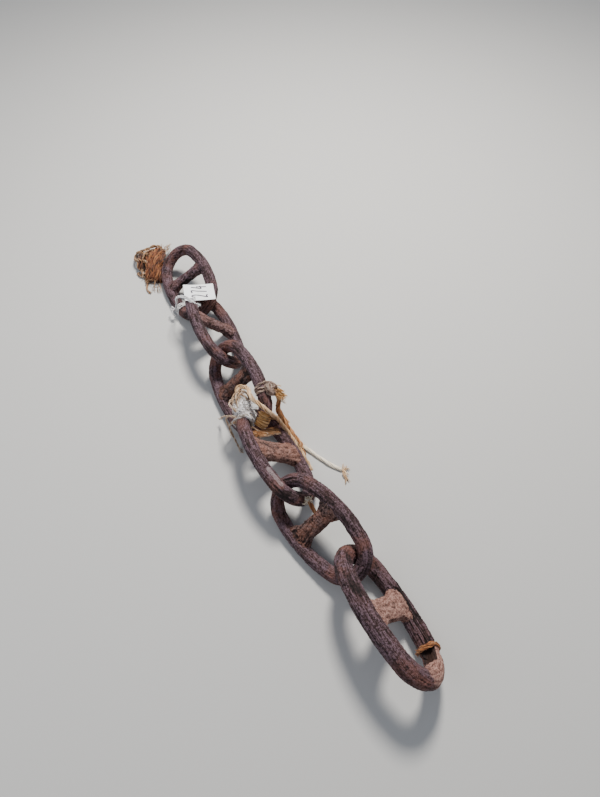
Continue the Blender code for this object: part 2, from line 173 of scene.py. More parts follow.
# Near-black for dark grime specks, and for painted shade in the relief's hollows
IRON_GRIME_AND_SHADE = (0.006, 0.0035, 0.0035)
IRON_BROWN = (0.034, 0.0145, 0.0140)
# Mauve-grey of raised, rubbed iron, with a painted sheen of sky light in it
IRON_MAUVE_SHEEN = (0.135, 0.080, 0.102)
IRON_PINK = (0.160, 0.062, 0.046)
IRON_ORANGE = (0.200, 0.062, 0.020)
IRON_RUST = (0.034, 0.012, 0.007)
IRON_BARE = (0.420, 0.236, 0.186)
IRON_WORN = (0.190, 0.085, 0.066)
# Pale iron for painted glints, and for where a flake of scale has come away
IRON_GLINT_AND_FLAKE = (0.340, 0.262, 0.270)


class Outline:
    """A link's centre line in its own flat: two crown arcs and two long side arcs that meet smoothly."""

    def __init__(self, length, width, bar):
        self.radius = bar / 2
        self.half_length = (length - bar) / 2
        self.half_width = (width - bar) / 2
        self.crown = CROWN_FULLNESS * self.half_width
        reach = self.half_length - self.crown
        self.side = (reach**2 + self.half_width**2 - self.crown**2) / (2 * (self.half_width - self.crown))
        self.spread = math.atan2(reach, self.side - self.half_width)

    def at(self, angle):
        """The point whose outward normal is at this angle from the near end, and that normal."""
        normal = Vector((math.cos(angle), math.sin(angle), 0))
        if abs(normal.y) > math.cos(self.spread):
            centre = Vector((0, math.copysign(self.side - self.half_width, -normal.y), 0))
            return centre + self.side * normal, normal
        centre = Vector((math.copysign(self.half_length - self.crown, normal.x), 0, 0))
        return centre + self.crown * normal, normal

    def side_at(self, x):
        """How far the side bar's centre line stands from the link's axis at this place along it."""
        return self.half_width - self.side + math.sqrt(self.side**2 - x**2)


def lie_of(node):
    """A link's place as a matrix, with its axes to its near end, to +X and through its flat."""
    corners = np.unique(np.round([vertex.co for vertex in frame["nodes"][node].data.vertices], 6), axis=0)
    middle = corners.mean(axis=0)
    along, across, _ = np.linalg.svd(corners - middle, full_matrices=False)[2]
    along = Vector(along) * -math.copysign(1, along[1])
    across = Vector(across) * math.copysign(1, across[0])
    turn = Matrix((along, across, along.cross(across))).transposed()
    return Matrix.Translation(middle) @ turn.to_4x4()


outlines = {node: Outline(LINK_LENGTH, LINK_WIDTH, LINK_BAR) for node in LINKS}
outlines[END_LINK] = Outline(END_LENGTH, END_WIDTH, END_BAR)
lies = {node: lie_of(node) for node in LINKS}


def on_bar(node, angle, round_bar, lift=0.0):
    """A point at this height over a link's bar. Both angles are in degrees: along the link's outline from its
    near end, and round the bar from its outer side over the top."""
    outline = outlines[node]
    centre, normal = outline.at(math.radians(angle))
    turned = math.radians(round_bar)
    out = normal * math.cos(turned) + Vector((0, 0, math.sin(turned)))
    return lies[node] @ (centre + out * (outline.radius + lift))


class Wire:
    """What comes out of a node. Sums and products of wires and numbers add the nodes that work them out."""

    def __init__(self, socket):
        self.socket = socket
        self.tree = socket.id_data
        self.is_vector = socket.type in {"VECTOR", "RGBA"}

    def __add__(self, other):
        return worked("ADD", self, other)

    def __sub__(self, other):
        return worked("SUBTRACT", self, other)

    def __rsub__(self, other):
        return worked("SUBTRACT", other, self)

    def __mul__(self, other):
        if self.is_vector and not isinstance(other, tuple):
            return wired(self.tree, "ShaderNodeVectorMath", {0: self, "Scale": other}, operation="SCALE")
        return worked("MULTIPLY", self, other)

    def __truediv__(self, other):
        return worked("DIVIDE", self, other)

    def __neg__(self):
        return worked("MULTIPLY", self, -1.0)

    def __abs__(self):
        return worked("ABSOLUTE", self)


def fill(node, inputs):
    """Gives each of these inputs of a node its value, or links the wire that leads to it."""
    for key, value in dict(inputs).items():
        if isinstance(value, Wire):
            node.id_data.links.new(value.socket, node.inputs[key])
        else:
            node.inputs[key].default_value = value


def add_node(tree, kind, inputs=(), **settings):
    """A new node of this kind, with its settings and its inputs."""
    made = tree.nodes.new(kind)
    for name, value in settings.items():
        setattr(made, name, value)
    fill(made, inputs)
    return made


def wired(tree, kind, inputs=(), output=0, **settings):
    """The wire that comes out of a new node of this kind."""
    return Wire(add_node(tree, kind, inputs, **settings).outputs[output])


def worked(operation, *values):
    """The wire that comes out of a new maths node, which works on these wires and numbers."""
    wire = next(value for value in values if isinstance(value, Wire))
    kind = "ShaderNodeVectorMath" if wire.is_vector else "ShaderNodeMath"
    output = "Value" if operation in {"DOT_PRODUCT", "LENGTH"} else 0
    return wired(wire.tree, kind, dict(enumerate(values)), output, operation=operation)


def step_up(value, low, high):
    """0 below low, 1 above high, and a smooth step between them."""
    inputs = {"Value": value, "From Min": low, "From Max": high}
    return wired(value.tree, "ShaderNodeMapRange", inputs, "Result", interpolation_type="SMOOTHSTEP")


def cloud(place, scale, detail=2.0, roughness=0.5, w=None, output=0):
    """Noise whose spots are about 1 / scale across. Output 0 is a number, and output 1 has three."""
    inputs = {"Vector": place, "Scale": scale, "Detail": detail, "Roughness": roughness}
    if w is not None:
        inputs["W"] = w
    dimensions = "3D" if w is None else "4D"
    return wired(place.tree, "ShaderNodeTexNoise", inputs, output, noise_dimensions=dimensions)


def new_tree(name, **sizes):
    """A geometry tree and its inputs as wires: its Geometry, and these, each with its default value."""
    kinds = {float: "Float", int: "Int", tuple: "Vector", type(None): "Material"}
    tree = bpy.data.node_groups.new(name, "GeometryNodeTree")
    tree.interface.new_socket("Geometry", in_out="INPUT", socket_type="NodeSocketGeometry")
    tree.interface.new_socket("Geometry", in_out="OUTPUT", socket_type="NodeSocketGeometry")
    for label, default in sizes.items():
        kind = "NodeSocket" + kinds[type(default)]
        socket = tree.interface.new_socket(label, in_out="INPUT", socket_type=kind)
        if default is not None:
            socket.default_value = default
    given = tree.nodes.new("NodeGroupInput").outputs
    return tree, {label: Wire(given[label]) for label in ("Geometry", *sizes)}


def moved(geometry, **how):
    """The geometry with its points put at a Position, or moved by an Offset."""
    return wired(geometry.tree, "GeometryNodeSetPosition", {"Geometry": geometry, **how})


def kept_over(geometry, lowest):
    """The geometry with every point at this height or over it."""
    place = wired(geometry.tree, "GeometryNodeInputPosition")
    x, y, z = map(Wire, add_node(geometry.tree, "ShaderNodeSeparateXYZ", {0: place}).outputs)
    heights = {0: x, 1: y, 2: worked("MAXIMUM", z, lowest)}
    return moved(geometry, Position=wired(geometry.tree, "ShaderNodeCombineXYZ", heights))


def finish_tree(geometry, finish):
    """Ends a tree: nothing reaches below the floor, instances are made real, and the finish is set."""
    real = wired(geometry.tree, "GeometryNodeRealizeInstances", {"Geometry": kept_over(geometry, 0.0)})
    painted = wired(geometry.tree, "GeometryNodeSetMaterial", {"Geometry": real, "Material": finish})
    add_node(geometry.tree, "NodeGroupOutput", {"Geometry": painted})


def stored(geometry, name, value, domain="POINT"):
    """The geometry with a value kept on it under this name."""
    kind = {"VECTOR": "FLOAT_VECTOR", "INT": "INT"}.get(value.socket.type, "FLOAT")
    inputs = {"Geometry": geometry, "Name": name, "Value": value}
    return wired(geometry.tree, "GeometryNodeStoreNamedAttribute", inputs, data_type=kind, domain=domain)


def named(tree, name, kind="FLOAT"):
    """The value that a geometry keeps under this name."""
    return wired(tree, "GeometryNodeInputNamedAttribute", {"Name": name}, data_type=kind)


def grown(thing, *stages):
    """Runs geometry trees on an object, each with its inputs, and gives the result as a plain mesh."""
    for tree, values in stages:
        modifier = thing.modifiers.new(tree.name, "NODES")
        modifier.node_group = tree
        sockets = [item for item in tree.interface.items_tree if item.in_out == "INPUT"]
        identifiers = {socket.name: socket.identifier for socket in sockets}
        for label, value in values.items():
            modifier[identifiers[label]] = value
    bpy.context.scene.collection.objects.link(thing)
    evaluated = thing.evaluated_get(bpy.context.evaluated_depsgraph_get())
    mesh = bpy.data.meshes.new_from_object(evaluated)
    bpy.data.objects.remove(thing)
    return mesh


def add_piece(name, mesh, body, replaced=()):
    """Puts a finished mesh in the scene and on a body, or on none where it is blended between two."""
    mesh.name = name
    mesh.shade_smooth()
    piece = bpy.data.objects.new(name, mesh)
    bpy.context.scene.collection.objects.link(piece)
    if body:
        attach(piece, body)
    if replaced:
        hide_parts(*replaced)
    return piece


def curve_of(name, paths, cyclic=False):
    """A curve object with one spline for each path of points."""
    data = bpy.data.curves.new(name, "CURVE")
    data.dimensions = "3D"
    for path in paths:
        spline = data.splines.new("POLY")
        spline.points.add(len(path) - 1)
        spline.use_cyclic_u = cyclic
        for point, place in zip(spline.points, path):
            point.co = (*place, 1)
    return bpy.data.objects.new(name, data)


# The bar itself: the outline made a tube, with a coordinate that runs along its fibres and closes on itself.
bar_tree, given = new_tree("bent_bar", radius=0.013, around=72, stations=440, stretch=FIBRE_STRETCH)
inputs = {"Curve": given["Geometry"], "Count": given["stations"]}
line = wired(bar_tree, "GeometryNodeResampleCurve", inputs, mode="COUNT")
whole_turns = wired(bar_tree, "GeometryNodeSplineParameter", output="Factor") * math.tau
line = stored(line, "turned", whole_turns)
inputs = {"Resolution": given["around"], "Radius": given["radius"]}
circle = stored(wired(bar_tree, "GeometryNodeCurvePrimitiveCircle", inputs), "rounded", whole_turns)
tube = wired(bar_tree, "GeometryNodeCurveToMesh", {"Curve": line, "Profile Curve": circle})
turned, rounded = named(bar_tree, "turned"), named(bar_tree, "rounded")
reach = wired(bar_tree, "GeometryNodeCurveLength", {"Curve": line}) / math.tau / given["stretch"]
grain = wired(bar_tree, "ShaderNodeCombineXYZ", {
    0: reach * worked("COSINE", turned),
    1: reach * worked("SINE", turned),
    2: given["radius"] * worked("COSINE", rounded),
})
tube = stored(tube, "grain", grain)
tube = stored(tube, "grain_w", given["radius"] * worked("SINE", rounded))
tube = stored(tube, "crown", step_up(abs(worked("COSINE", turned)), 0.45, 0.95))
add_node(bar_tree, "NodeGroupOutput", {"Geometry": tube})

# Old iron's relief: fibres along the bar, layers of scale that came away, pits, crumbs and lumps, each with
# its depth. One stretch may have a spot, a hole or a flake; one may be split along the fibres, and one may
# be bare.
# A mark that a link lacks lies far below the floor.
AWAY_FROM, AWAY_TO = (0, 0, -9), (0, 0, -9.1)
relief_tree, given = new_tree(
    "iron_relief",
    fibres=0.0010, scale=0.0010, pits=0.0012, crumbs=0.0016, lumps=0.0024, seed=0.0,
    spot_from=AWAY_FROM, spot_to=AWAY_TO, spot_reach=0.010, spot_depth=0.0, spot_tone=1.0,
    split_from=AWAY_FROM, split_to=AWAY_TO, split_reach=0.020, split_depth=0.0,
    bare_from=AWAY_FROM, bare_to=AWAY_TO, bare_reach=0.020, bare_all=0.0,
    finish=None,
)


def near_line(place, start, end, reach, ragged):
    """1 near the line between two points, and 0 past this reach of it, with a ragged edge."""
    run = end - start
    offset = place - start
    share = worked("DOT_PRODUCT", offset, run) / worked("DOT_PRODUCT", run, run)
    away = worked("LENGTH", offset - run * wired(place.tree, "ShaderNodeClamp", {0: share}))
    rough = cloud(place, RAGGED_PER_METRE, 3.0, 0.6) - 0.5
    return 1.0 - step_up(away / reach + rough * ragged, 0.65, 1.0)


grain = named(relief_tree, "grain", "FLOAT_VECTOR")
grain_w = named(relief_tree, "grain_w") + given["seed"]
place = wired(relief_tree, "GeometryNodeInputPosition")
strands = cloud(grain * LONG_FIBRES, STRANDS_PER_METRE, 3.0, 0.6, grain_w)
ridges = (RIDGE_HALF_WIDTH - abs(strands - 0.5)) * RIDGE_STEEPNESS
layers = step_up(cloud(grain, LAYERS_PER_METRE, 4.0, 0.55, grain_w), 0.53, 0.57)
holes = step_up(cloud(place, PITS_PER_METRE), 0.55, 0.68)
lumps = cloud(place, LUMPS_PER_METRE, w=given["seed"]) - 0.5
crumbs = cloud(place, CRUMBS_PER_METRE, 2.0, 0.6) - 0.52
height = ridges * given["fibres"] - layers * given["scale"] - holes * given["pits"]
height = height + lumps * given["lumps"] + crumbs * given["crumbs"]
split = near_line(place, given["split_from"], given["split_to"], given["split_reach"], 1.2)
seams = abs(cloud(grain * LONG_FIBRES, SEAMS_PER_METRE, 1.0, 0.5, grain_w) - 0.5)
height = height - (1.0 - step_up(seams, 0.014, 0.050)) * split * given["split_depth"]
spot = near_line(place, given["spot_from"], given["spot_to"], given["spot_reach"], 1.0)
height = height * (1.0 - spot * SPOT_SMOOTHNESS) - spot * given["spot_depth"]
bare = near_line(place, given["bare_from"], given["bare_to"], given["bare_reach"], 1.6)
skin = stored(given["Geometry"], "relief", height * MILLIMETRES)
skin = stored(skin, "spot", spot * given["spot_tone"])
skin = stored(skin, "bare", worked("MAXIMUM", bare, given["bare_all"]))
normal = wired(relief_tree, "GeometryNodeInputNormal")
skin = moved(skin, Offset=normal * (named(relief_tree, "relief") / MILLIMETRES))
finish_tree(skin, given["finish"])


def attribute(tree, name, output="Fac"):
    """The value under this name, as a material reads it from the mesh."""
    return wired(tree, "ShaderNodeAttribute", output=output, attribute_name=name)


def mixed(share, one, two):
    """Colour one where the share is 0, and colour two where it is 1."""
    inputs = {0: share, 6: one if isinstance(one, Wire) else (*one, 1), 7: (*two, 1)}
    return wired(share.tree, "ShaderNodeMix", inputs, 2, data_type="RGBA")


def iron_paint(name, dark, brown, light, pink, pink_share):
    """Rusted iron: painted shade in its hollows, wear and painted sheen where raised, pinker crowns, grains,
    spots.
    """
    made, tree, shader = made_material(name)
    place = wired(tree, "ShaderNodeTexCoord", output="Object")
    height, crown, spot, bare = (attribute(tree, part) for part in ("relief", "crown", "spot", "bare"))
    patches = cloud(place, PATCHES_PER_METRE, 4.0, 0.6)
    specks = cloud(place, SPECKS_PER_METRE, 3.0, 0.65)
    grains = cloud(place, GRAINS_PER_METRE, 3.0, 0.75)
    fine = cloud(place, FINE_GRAINS_PER_METRE, 3.0, 0.7)
    threads = attribute(tree, "grain", "Vector") * LONG_FIBRES
    threads = cloud(threads, THREADS_PER_METRE, 3.0, 0.65, attribute(tree, "grain_w"))
    mottle = grains * 0.5 + threads * 0.5
    # Raised, rubbed places take the light colour: partly wear, partly a painted sheen of light on the ridges
    rubbed_and_sheen = step_up(height, -1.1, 0.3) * step_up(mottle, 0.45, 0.57)
    colour = mixed(rubbed_and_sheen, brown, light)
    colour = mixed(step_up(patches, 0.40, 0.62) * (crown * 0.7 + pink_share), colour, pink)
    colour = mixed(bare * step_up(mottle, 0.36, 0.44) * 0.9, colour, IRON_WORN)
    colour = mixed(bare * step_up(mottle, 0.44, 0.57), colour, IRON_BARE)
    grime = step_up(-mottle, -0.47, -0.41) * (1.0 - bare * 0.8)
    colour = mixed(grime * 0.8, colour, dark)
    # Painted shade: the relief's hollows are darkened towards the dark colour
    colour = mixed(step_up(-height, 0.4, 1.6) * 0.85, colour, dark)
    spotted = step_up(specks, 0.60, 0.74) * step_up(patches, 0.5, 0.65)
    colour = mixed(spotted * 0.7, colour, IRON_ORANGE)
    # Painted highlight: pale glints on the rubbed grains
    colour = mixed(step_up(fine, 0.58, 0.68) * rubbed_and_sheen * 0.6, colour, IRON_GLINT_AND_FLAKE)
    flake = worked("MAXIMUM", spot, 0.0) * step_up(mottle, 0.36, 0.50)
    colour = mixed(flake * 0.6, colour, IRON_GLINT_AND_FLAKE)
    colour = mixed(worked("MAXIMUM", -spot, 0.0) * 0.8, colour, IRON_RUST)
    rough = fine * 0.5 + (mottle + grains)
    fill(shader, {
        "Base Color": colour,
        "Specular IOR Level": 0.35,
        "Roughness": specks * 0.35 + (0.66 - rubbed_and_sheen * 0.22),
        "Normal": wired(tree, "ShaderNodeBump", {"Height": rough, "Strength": 0.9, "Distance": 0.0012}),
    })
    return made


bar_iron = iron_paint("rusted_bar_iron", IRON_GRIME_AND_SHADE, IRON_BROWN, IRON_MAUVE_SHEEN, IRON_PINK, 0.10)
MARKS = {
    # a flake gone from a high bar, and the end link's rust hole, split layers and bare crown
    "link_4": {
        "spot_from": on_bar("link_4", 279, 68), "spot_to": on_bar("link_4", 293, 74), "spot_reach": 0.0054,
        "spot_depth": 0.0007,
    },
    "link_6": {
        "spot_from": on_bar("link_6", 42, 160), "spot_to": on_bar("link_6", 56, 158), "spot_reach": 0.0125,
        "spot_depth": 0.0075, "spot_tone": -1.0,
        "split_from": on_bar("link_6", 66, 90), "split_to": on_bar("link_6", 97, 90), "split_reach": 0.030,
        "split_depth": 0.0050,
        "bare_from": on_bar("link_6", 2, 80), "bare_to": on_bar("link_6", 46, 60), "bare_reach": 0.027,
    },
}
for number, node in enumerate(LINKS, start=1):
    outline = outlines[node]
    path = [lies[node] @ outline.at(math.tau * step / OUTLINE_POINTS)[0] for step in range(OUTLINE_POINTS)]
    long = sum((one - two).length for one, two in zip(path, path[1:] + path[:1]))
    sizes = {
        "radius": outline.radius,
        "around": round(math.tau * outline.radius / QUAD_SIZE),
        "stations": round(long / QUAD_SIZE),
    }
    marks = MARKS.get(node, {})
    mesh = grown(
        curve_of(node, [path], cyclic=True),
        (bar_tree, sizes),
        (relief_tree, {"seed": LINK_SEED_STEP * number, "finish": bar_iron, **marks}),
    )
    add_piece(f"{node}_bar", mesh, BODY_OF[node], [node])


# Studs: each is a short thick bar set across a link and driven tight between its sides. Rust has swollen
# them, so their feet have spread on to the bars, and they are pinker and crumble more than the links.
STUDS = {
    # node: waist and foot along the link, place along it, slant from foot to foot, thickness, how bare it is
    "link_1": (0.024, 0.036, -0.015, 0.010, 0.021, 0.0),
    "link_2": (0.028, 0.042, -0.012, 0.004, 0.021, 0.20),
    "link_3": (0.030, 0.044, -0.010, 0.010, 0.021, 0.0),
    "link_4": (0.042, 0.056, -0.008, 0.008, 0.026, 0.45),
    "link_5": (0.032, 0.054, -0.010, 0.008, 0.021, 0.10),
    "link_6": (0.040, 0.064, -0.004, 0.002, 0.024, 0.95),
}
FAR_LINKS = ("link_1", "link_2")
STUD_DEPTHS = {"fibres": 0.0014, "scale": 0.0016, "pits": 0.0018, "crumbs": 0.0024, "lumps": 0.0055}
RUBBED_DEPTHS = {**STUD_DEPTHS, "scale": 0.0010, "pits": 0.0006, "crumbs": 0.0016}
RUBBED_FROM = 0.4
STUD_SEED_STEP = 7.7
STUD_STATIONS = 72
STUD_AROUND = 90
STUD_SQUARENESS = 0.8
STUD_STRETCH = 5
NECK_AT = 0.40
FOOT_SWELL = 0.08
FOOT_SUNK = 0.35

STUD_BROWN = (0.034, 0.016, 0.014)
# The studs' light colour is rubbed iron with a painted sheen in it
STUD_LIGHT_SHEEN = (0.115, 0.070, 0.066)
STUD_PINK = (0.190, 0.070, 0.040)

stud_iron = iron_paint("rusted_stud_iron", IRON_GRIME_AND_SHADE, STUD_BROWN, STUD_LIGHT_SHEEN, STUD_PINK, 0.65)
far_stud_iron = iron_paint("rusted_far_stud_iron", IRON_GRIME_AND_SHADE, IRON_BROWN, IRON_MAUVE_SHEEN, IRON_PINK, 0.35)


def stud_skin(node, waist, foot, place, slant, thickness):
    """A stud's surface, from inside one bar to inside the other, with the coordinate of its fibres."""
    outline = outlines[node]
    mesh = bpy.data.meshes.new("stud")
    points, grains = [], []
    for station in range(STUD_STATIONS + 1):
        share = 2 * station / STUD_STATIONS - 1
        flare = max(0.0, (abs(share) - NECK_AT) / (1 - NECK_AT))
        flare = flare * flare * (3 - 2 * flare)
        half_foot = (waist + (foot - waist) * flare) / 2
        half_thick = thickness / 2 * (1 + FOOT_SWELL * flare)
        for side in range(STUD_AROUND):
            angle = math.tau * side / STUD_AROUND
            cosine, sine = math.cos(angle), math.sin(angle)
            x = place + slant * share + half_foot * math.copysign(abs(cosine) ** STUD_SQUARENESS, cosine)
            z = half_thick * math.copysign(abs(sine) ** STUD_SQUARENESS, sine)
            y = share * (outline.side_at(x) - FOOT_SUNK * outline.radius)
            points.append(lies[node] @ Vector((x, y, z)))
            grains.append((x, z, y / STUD_STRETCH))
    faces = []
    for station in range(STUD_STATIONS):
        for side in range(STUD_AROUND):
            after = (side + 1) % STUD_AROUND
            low, high = station * STUD_AROUND, (station + 1) * STUD_AROUND
            faces.append((low + side, low + after, high + after, high + side))
    last = STUD_STATIONS * STUD_AROUND
    faces += [tuple(range(STUD_AROUND - 1, -1, -1)), tuple(range(last, last + STUD_AROUND))]
    mesh.from_pydata(points, [], faces)
    mesh.attributes.new("grain", "FLOAT_VECTOR", "POINT").data.foreach_set("vector", np.ravel(grains))
    mesh.attributes.new("grain_w", "FLOAT", "POINT")
    mesh.attributes.new("crown", "FLOAT", "POINT")
    if mesh.polygons[0].normal.dot(mesh.polygons[0].center - lies[node].translation) < 0:
        mesh.flip_normals()
    return bpy.data.objects.new("stud", mesh)


for number, (node, (*sizes, bareness)) in enumerate(STUDS.items(), start=1):
    looks = dict(RUBBED_DEPTHS if bareness > RUBBED_FROM else STUD_DEPTHS)
    looks["finish"] = far_stud_iron if node in FAR_LINKS else stud_iron
    looks |= {"seed": STUD_SEED_STEP * number, "bare_all": bareness}
    mesh = grown(stud_skin(node, *sizes), (relief_tree, looks))
    add_piece(f"stud_{number}_iron", mesh, BODY_OF[node], [f"stud_{number}"])


# Rope hank: what is left of the lashing that held the chain's far end. Brown rope has come apart into its
# yarns, which lie beside link 1's low bar in a thick bundle, with loose loops and pale wisps at both ends.
HANK_YARNS = 15
HANK_TOP = ((-0.038, 0.604), (0.009, 0.594))
HANK_LOW = ((-0.066, 0.507), (-0.038, 0.484))
HANK_HEIGHTS = (0.009, 0.020)
HANK_RISE = 0.011
HANK_STRAY = 0.003
HANK_SIDE, HANK_END = -0.083, 0.612
HANK_CORE = (
    ((-0.056, 0.592), (-0.034, 0.592), (-0.014, 0.588), (0.000, 0.582)),
    ((-0.068, 0.548), (-0.060, 0.512), (-0.048, 0.504), (-0.040, 0.498)),
)
YARN_POINTS = 8
HANK_WISPS = 26
FAR_WISPS = 22
FAR_WISP_STRIDE = 0.006
FLOOR_GAP = 0.001
STAINS_PER_METRE = 110.0

ROPE_SHADE = (0.035, 0.011, 0.004)
ROPE_BROWN = (0.185, 0.045, 0.009)
ROPE_TAN = (0.400, 0.160, 0.050)
ROPE_BLEACHED = (0.520, 0.270, 0.120)
TWINE_PALE = (0.620, 0.480, 0.350)


def smoothed(route, steps):
    """Points of a smooth curve through the route's own points."""
    knots = [Vector(point) for point in route]
    knots = [2 * knots[0] - knots[1]] + knots + [2 * knots[-1] - knots[-2]]
    smooth = []
    for one, two, three, four in zip(knots, knots[1:], knots[2:], knots[3:]):
        for step in range(steps):
            t = step / steps
            bend = 2 * one - 5 * two + 4 * three - four
            twist = 3 * two - one - 3 * three + four
            smooth.append(two + 0.5 * ((three - one) * t + bend * t**2 + twist * t**3))
    smooth.append(knots[-2])
    return smooth


def fibre_paint(name, shade, middle, light, far=None, darkening=0.8):
    """Old fibre: each has its own tone, and those deep in a yarn get painted shade. It may bleach towards its
    far end.
    """
    made, tree, shader = made_material(name)
    tone, depth, share = (attribute(tree, part) for part in ("tone", "depth", "share"))
    stain = cloud(wired(tree, "ShaderNodeTexCoord", output="Object"), STAINS_PER_METRE, 3.0, 0.6)
    ramp = add_node(tree, "ShaderNodeValToRGB", {0: tone + (stain - 0.5) * 0.9})
    ramp.color_ramp.elements[0].color = (*shade, 1)
    ramp.color_ramp.elements[1].color = (*light, 1)
    ramp.color_ramp.elements.new(0.45).color = (*middle, 1)
    colour = Wire(ramp.outputs[0])
    if far:
        colour = mixed(step_up(share, 0.30, 0.66), colour, far)
    # Painted shade: fibres deep in the yarn are darkened towards the shade colour
    colour = mixed((1.0 - depth) * darkening, colour, shade)
    fill(shader, {"Base Color": colour, "Roughness": 0.85, "Sheen Weight": 0.12, "Sheen Roughness": 0.5})
    return made


# Fibres laid round a line, each with its own stray course, which spread and end unevenly at the line's ends.
fibre_tree, given = new_tree(
    "laid_fibres",
    fibres=14, yarn=0.0030, turns=25.0, thickness=0.00045, sides=4, wander=0.0020, waves=60.0, fray=1.5,
    uneven=0.12, step=0.0028, seed=1, finish=None,
)
LINE_SEED_STEP = 997.0
FIBRE_NOISE_STEP = 0.173
THICKNESSES_OVER_FLOOR = 1.2
ENDS_FROM = 0.62
ENDS_THINNER_BY = 0.35
THINNEST, THICKEST = 0.6, 1.35
line = stored(given["Geometry"], "line", wired(fibre_tree, "GeometryNodeInputIndex"), "CURVE")
inputs = {"Curve": line, "Length": given["step"]}
line = wired(fibre_tree, "GeometryNodeResampleCurve", inputs, mode="LENGTH")
inputs = {"Geometry": line, "Amount": given["fibres"]}
copies = add_node(fibre_tree, "GeometryNodeDuplicateElements", inputs, domain="SPLINE").outputs
one_of = named(fibre_tree, "line", "INT") * LINE_SEED_STEP + Wire(copies[1])
share = wired(fibre_tree, "GeometryNodeSplineParameter", output="Factor")
along = wired(fibre_tree, "GeometryNodeSplineParameter", output="Length")


def drawn(low, high, apart):
    """A random number of each fibre's own."""
    inputs = {2: low, 3: high, 7: one_of, 8: given["seed"] + float(apart)}
    return wired(fibre_tree, "FunctionNodeRandomValue", inputs, 1, data_type="FLOAT")


fibres = stored(Wire(copies[0]), "share", share)
fibres = stored(fibres, "tone", drawn(0.0, 1.0, 1))
fibres = stored(fibres, "depth", worked("SQRT", drawn(0.0, 1.0, 2)))
fibres = stored(fibres, "fibre", one_of * FIBRE_NOISE_STEP)
fibres = stored(fibres, "end", step_up(abs(share * 2.0 - 1.0), ENDS_FROM, 1.0))
frayed = named(fibre_tree, "end") * given["fray"] + 1.0
angle = (along * given["turns"] + drawn(0.0, 1.0, 3)) * math.tau
side = wired(fibre_tree, "GeometryNodeInputNormal")
over = worked("CROSS_PRODUCT", wired(fibre_tree, "GeometryNodeInputTangent"), side)
ray = side * worked("COSINE", angle) + over * worked("SINE", angle)
away = named(fibre_tree, "depth") * given["yarn"] * frayed
place = wired(fibre_tree, "GeometryNodeInputPosition")
stray = cloud(place, given["waves"], 1.0, 0.5, named(fibre_tree, "fibre"), output=1) - (0.5, 0.5, 0.5)
fibres = moved(fibres, Offset=ray * away + stray * (given["wander"] * (frayed * 2.0)))
fibres = kept_over(fibres, given["thickness"] * THICKNESSES_OVER_FLOOR)
begin = given["uneven"] * drawn(0.0, 1.0, 4)
end = 1.0 - given["uneven"] * drawn(0.0, 1.0, 5)
fibres = wired(fibre_tree, "GeometryNodeTrimCurve", {"Curve": fibres, 2: begin, 3: end}, mode="FACTOR")
inputs = {"Resolution": given["sides"], "Radius": given["thickness"]}
section = wired(fibre_tree, "GeometryNodeCurvePrimitiveCircle", inputs)
thinned = drawn(THINNEST, THICKEST, 6) - named(fibre_tree, "end") * ENDS_THINNER_BY
inputs = {"Curve": fibres, "Profile Curve": section, "Scale": thinned, "Fill Caps": True}
finish_tree(wired(fibre_tree, "GeometryNodeCurveToMesh", inputs), given["finish"])


def fibre_piece(name, paths, body, slot, finish, replaced=(), **sizes):
    """A piece of fibres laid along each of these paths."""
    lines = curve_of(name, [smoothed(path, 4) for path in paths])
    mesh = grown(lines, (fibre_tree, {**sizes, "finish": finish}))
    return add_piece(name, mesh, body, replaced)


def wound(node, angles, rounds, lifts, points=13):
    """A path that winds round a link's bar. Each argument runs evenly from its first value to its last."""
    path = []
    for step in range(points):
        share = step / (points - 1)
        angle, turned, lift = (first + (last - first) * share for first, last in (angles, rounds, lifts))
        path.append(on_bar(node, angle, turned, lift))
    return path


def strewn(draw, point, reach):
    """The point, moved at random by up to this much each way, and kept over the floor."""
    x, y, z = (value + draw.uniform(-reach, reach) for value in point)
    return Vector((x, y, max(z, FLOOR_GAP)))


def between(draw, low, high):
    """A point drawn at random between two corners."""
    return Vector([draw.uniform(one, two) for one, two in zip(low, high)])


brown_fibre = fibre_paint("brown_rope_fibre", ROPE_SHADE, ROPE_BROWN, ROPE_TAN)
tan_fibre = fibre_paint("bleached_rope_fibre", ROPE_SHADE, ROPE_BLEACHED, TWINE_PALE)
# Near-black rope colours: the hank's core stands in for the painted shade in the gaps between its yarns
core_shade_fibre = fibre_paint(
    "rope_core_fibre", (0.010, 0.004, 0.002), (0.060, 0.017, 0.006), (0.160, 0.045, 0.012)
)
draw = random.Random(41)
yarns = []
for yarn in range(HANK_YARNS):
    share = yarn / (HANK_YARNS - 1)
    top = Vector(HANK_TOP[0]).lerp(Vector(HANK_TOP[1]), share)
    low = Vector(HANK_LOW[0]).lerp(Vector(HANK_LOW[1]), share)
    layer = HANK_HEIGHTS[yarn % 2]
    path = []
    for step in range(YARN_POINTS):
        along = step / (YARN_POINTS - 1)
        x, y = top.lerp(low, along)
        arch = math.sin(math.pi * along)
        height = layer * (0.6 + 0.4 * arch) + HANK_RISE * arch * (0.5 + share)
        path.append(strewn(draw, (x, y, height), HANK_STRAY))
    yarns.append(path)
fibre_piece(
    "hank_yarns", yarns, "link_1_body", "brown_rope", brown_fibre, ["rope_hank"],
    fibres=24, yarn=0.0042, turns=22.0, thickness=0.0008, wander=0.0018, fray=0.7, uneven=0.10, seed=3,
)
# A dark under-layer of rope below the yarns: painted shade for the hank's gaps, so the floor does not show
# through
core = []
for (x, y), (x_low, y_low) in zip(*HANK_CORE):
    core.append([(x, y, 0.012), (0.5 * (x + x_low) + 0.004, 0.5 * (y + y_low), 0.020), (x_low, y_low, 0.010)])
fibre_piece(
    "hank_core", core, "link_1_body", "brown_rope", core_shade_fibre,
    fibres=46, yarn=0.0095, turns=8.0, thickness=0.0016, wander=0.0010, fray=0.0, uneven=0.04, seed=4,
)
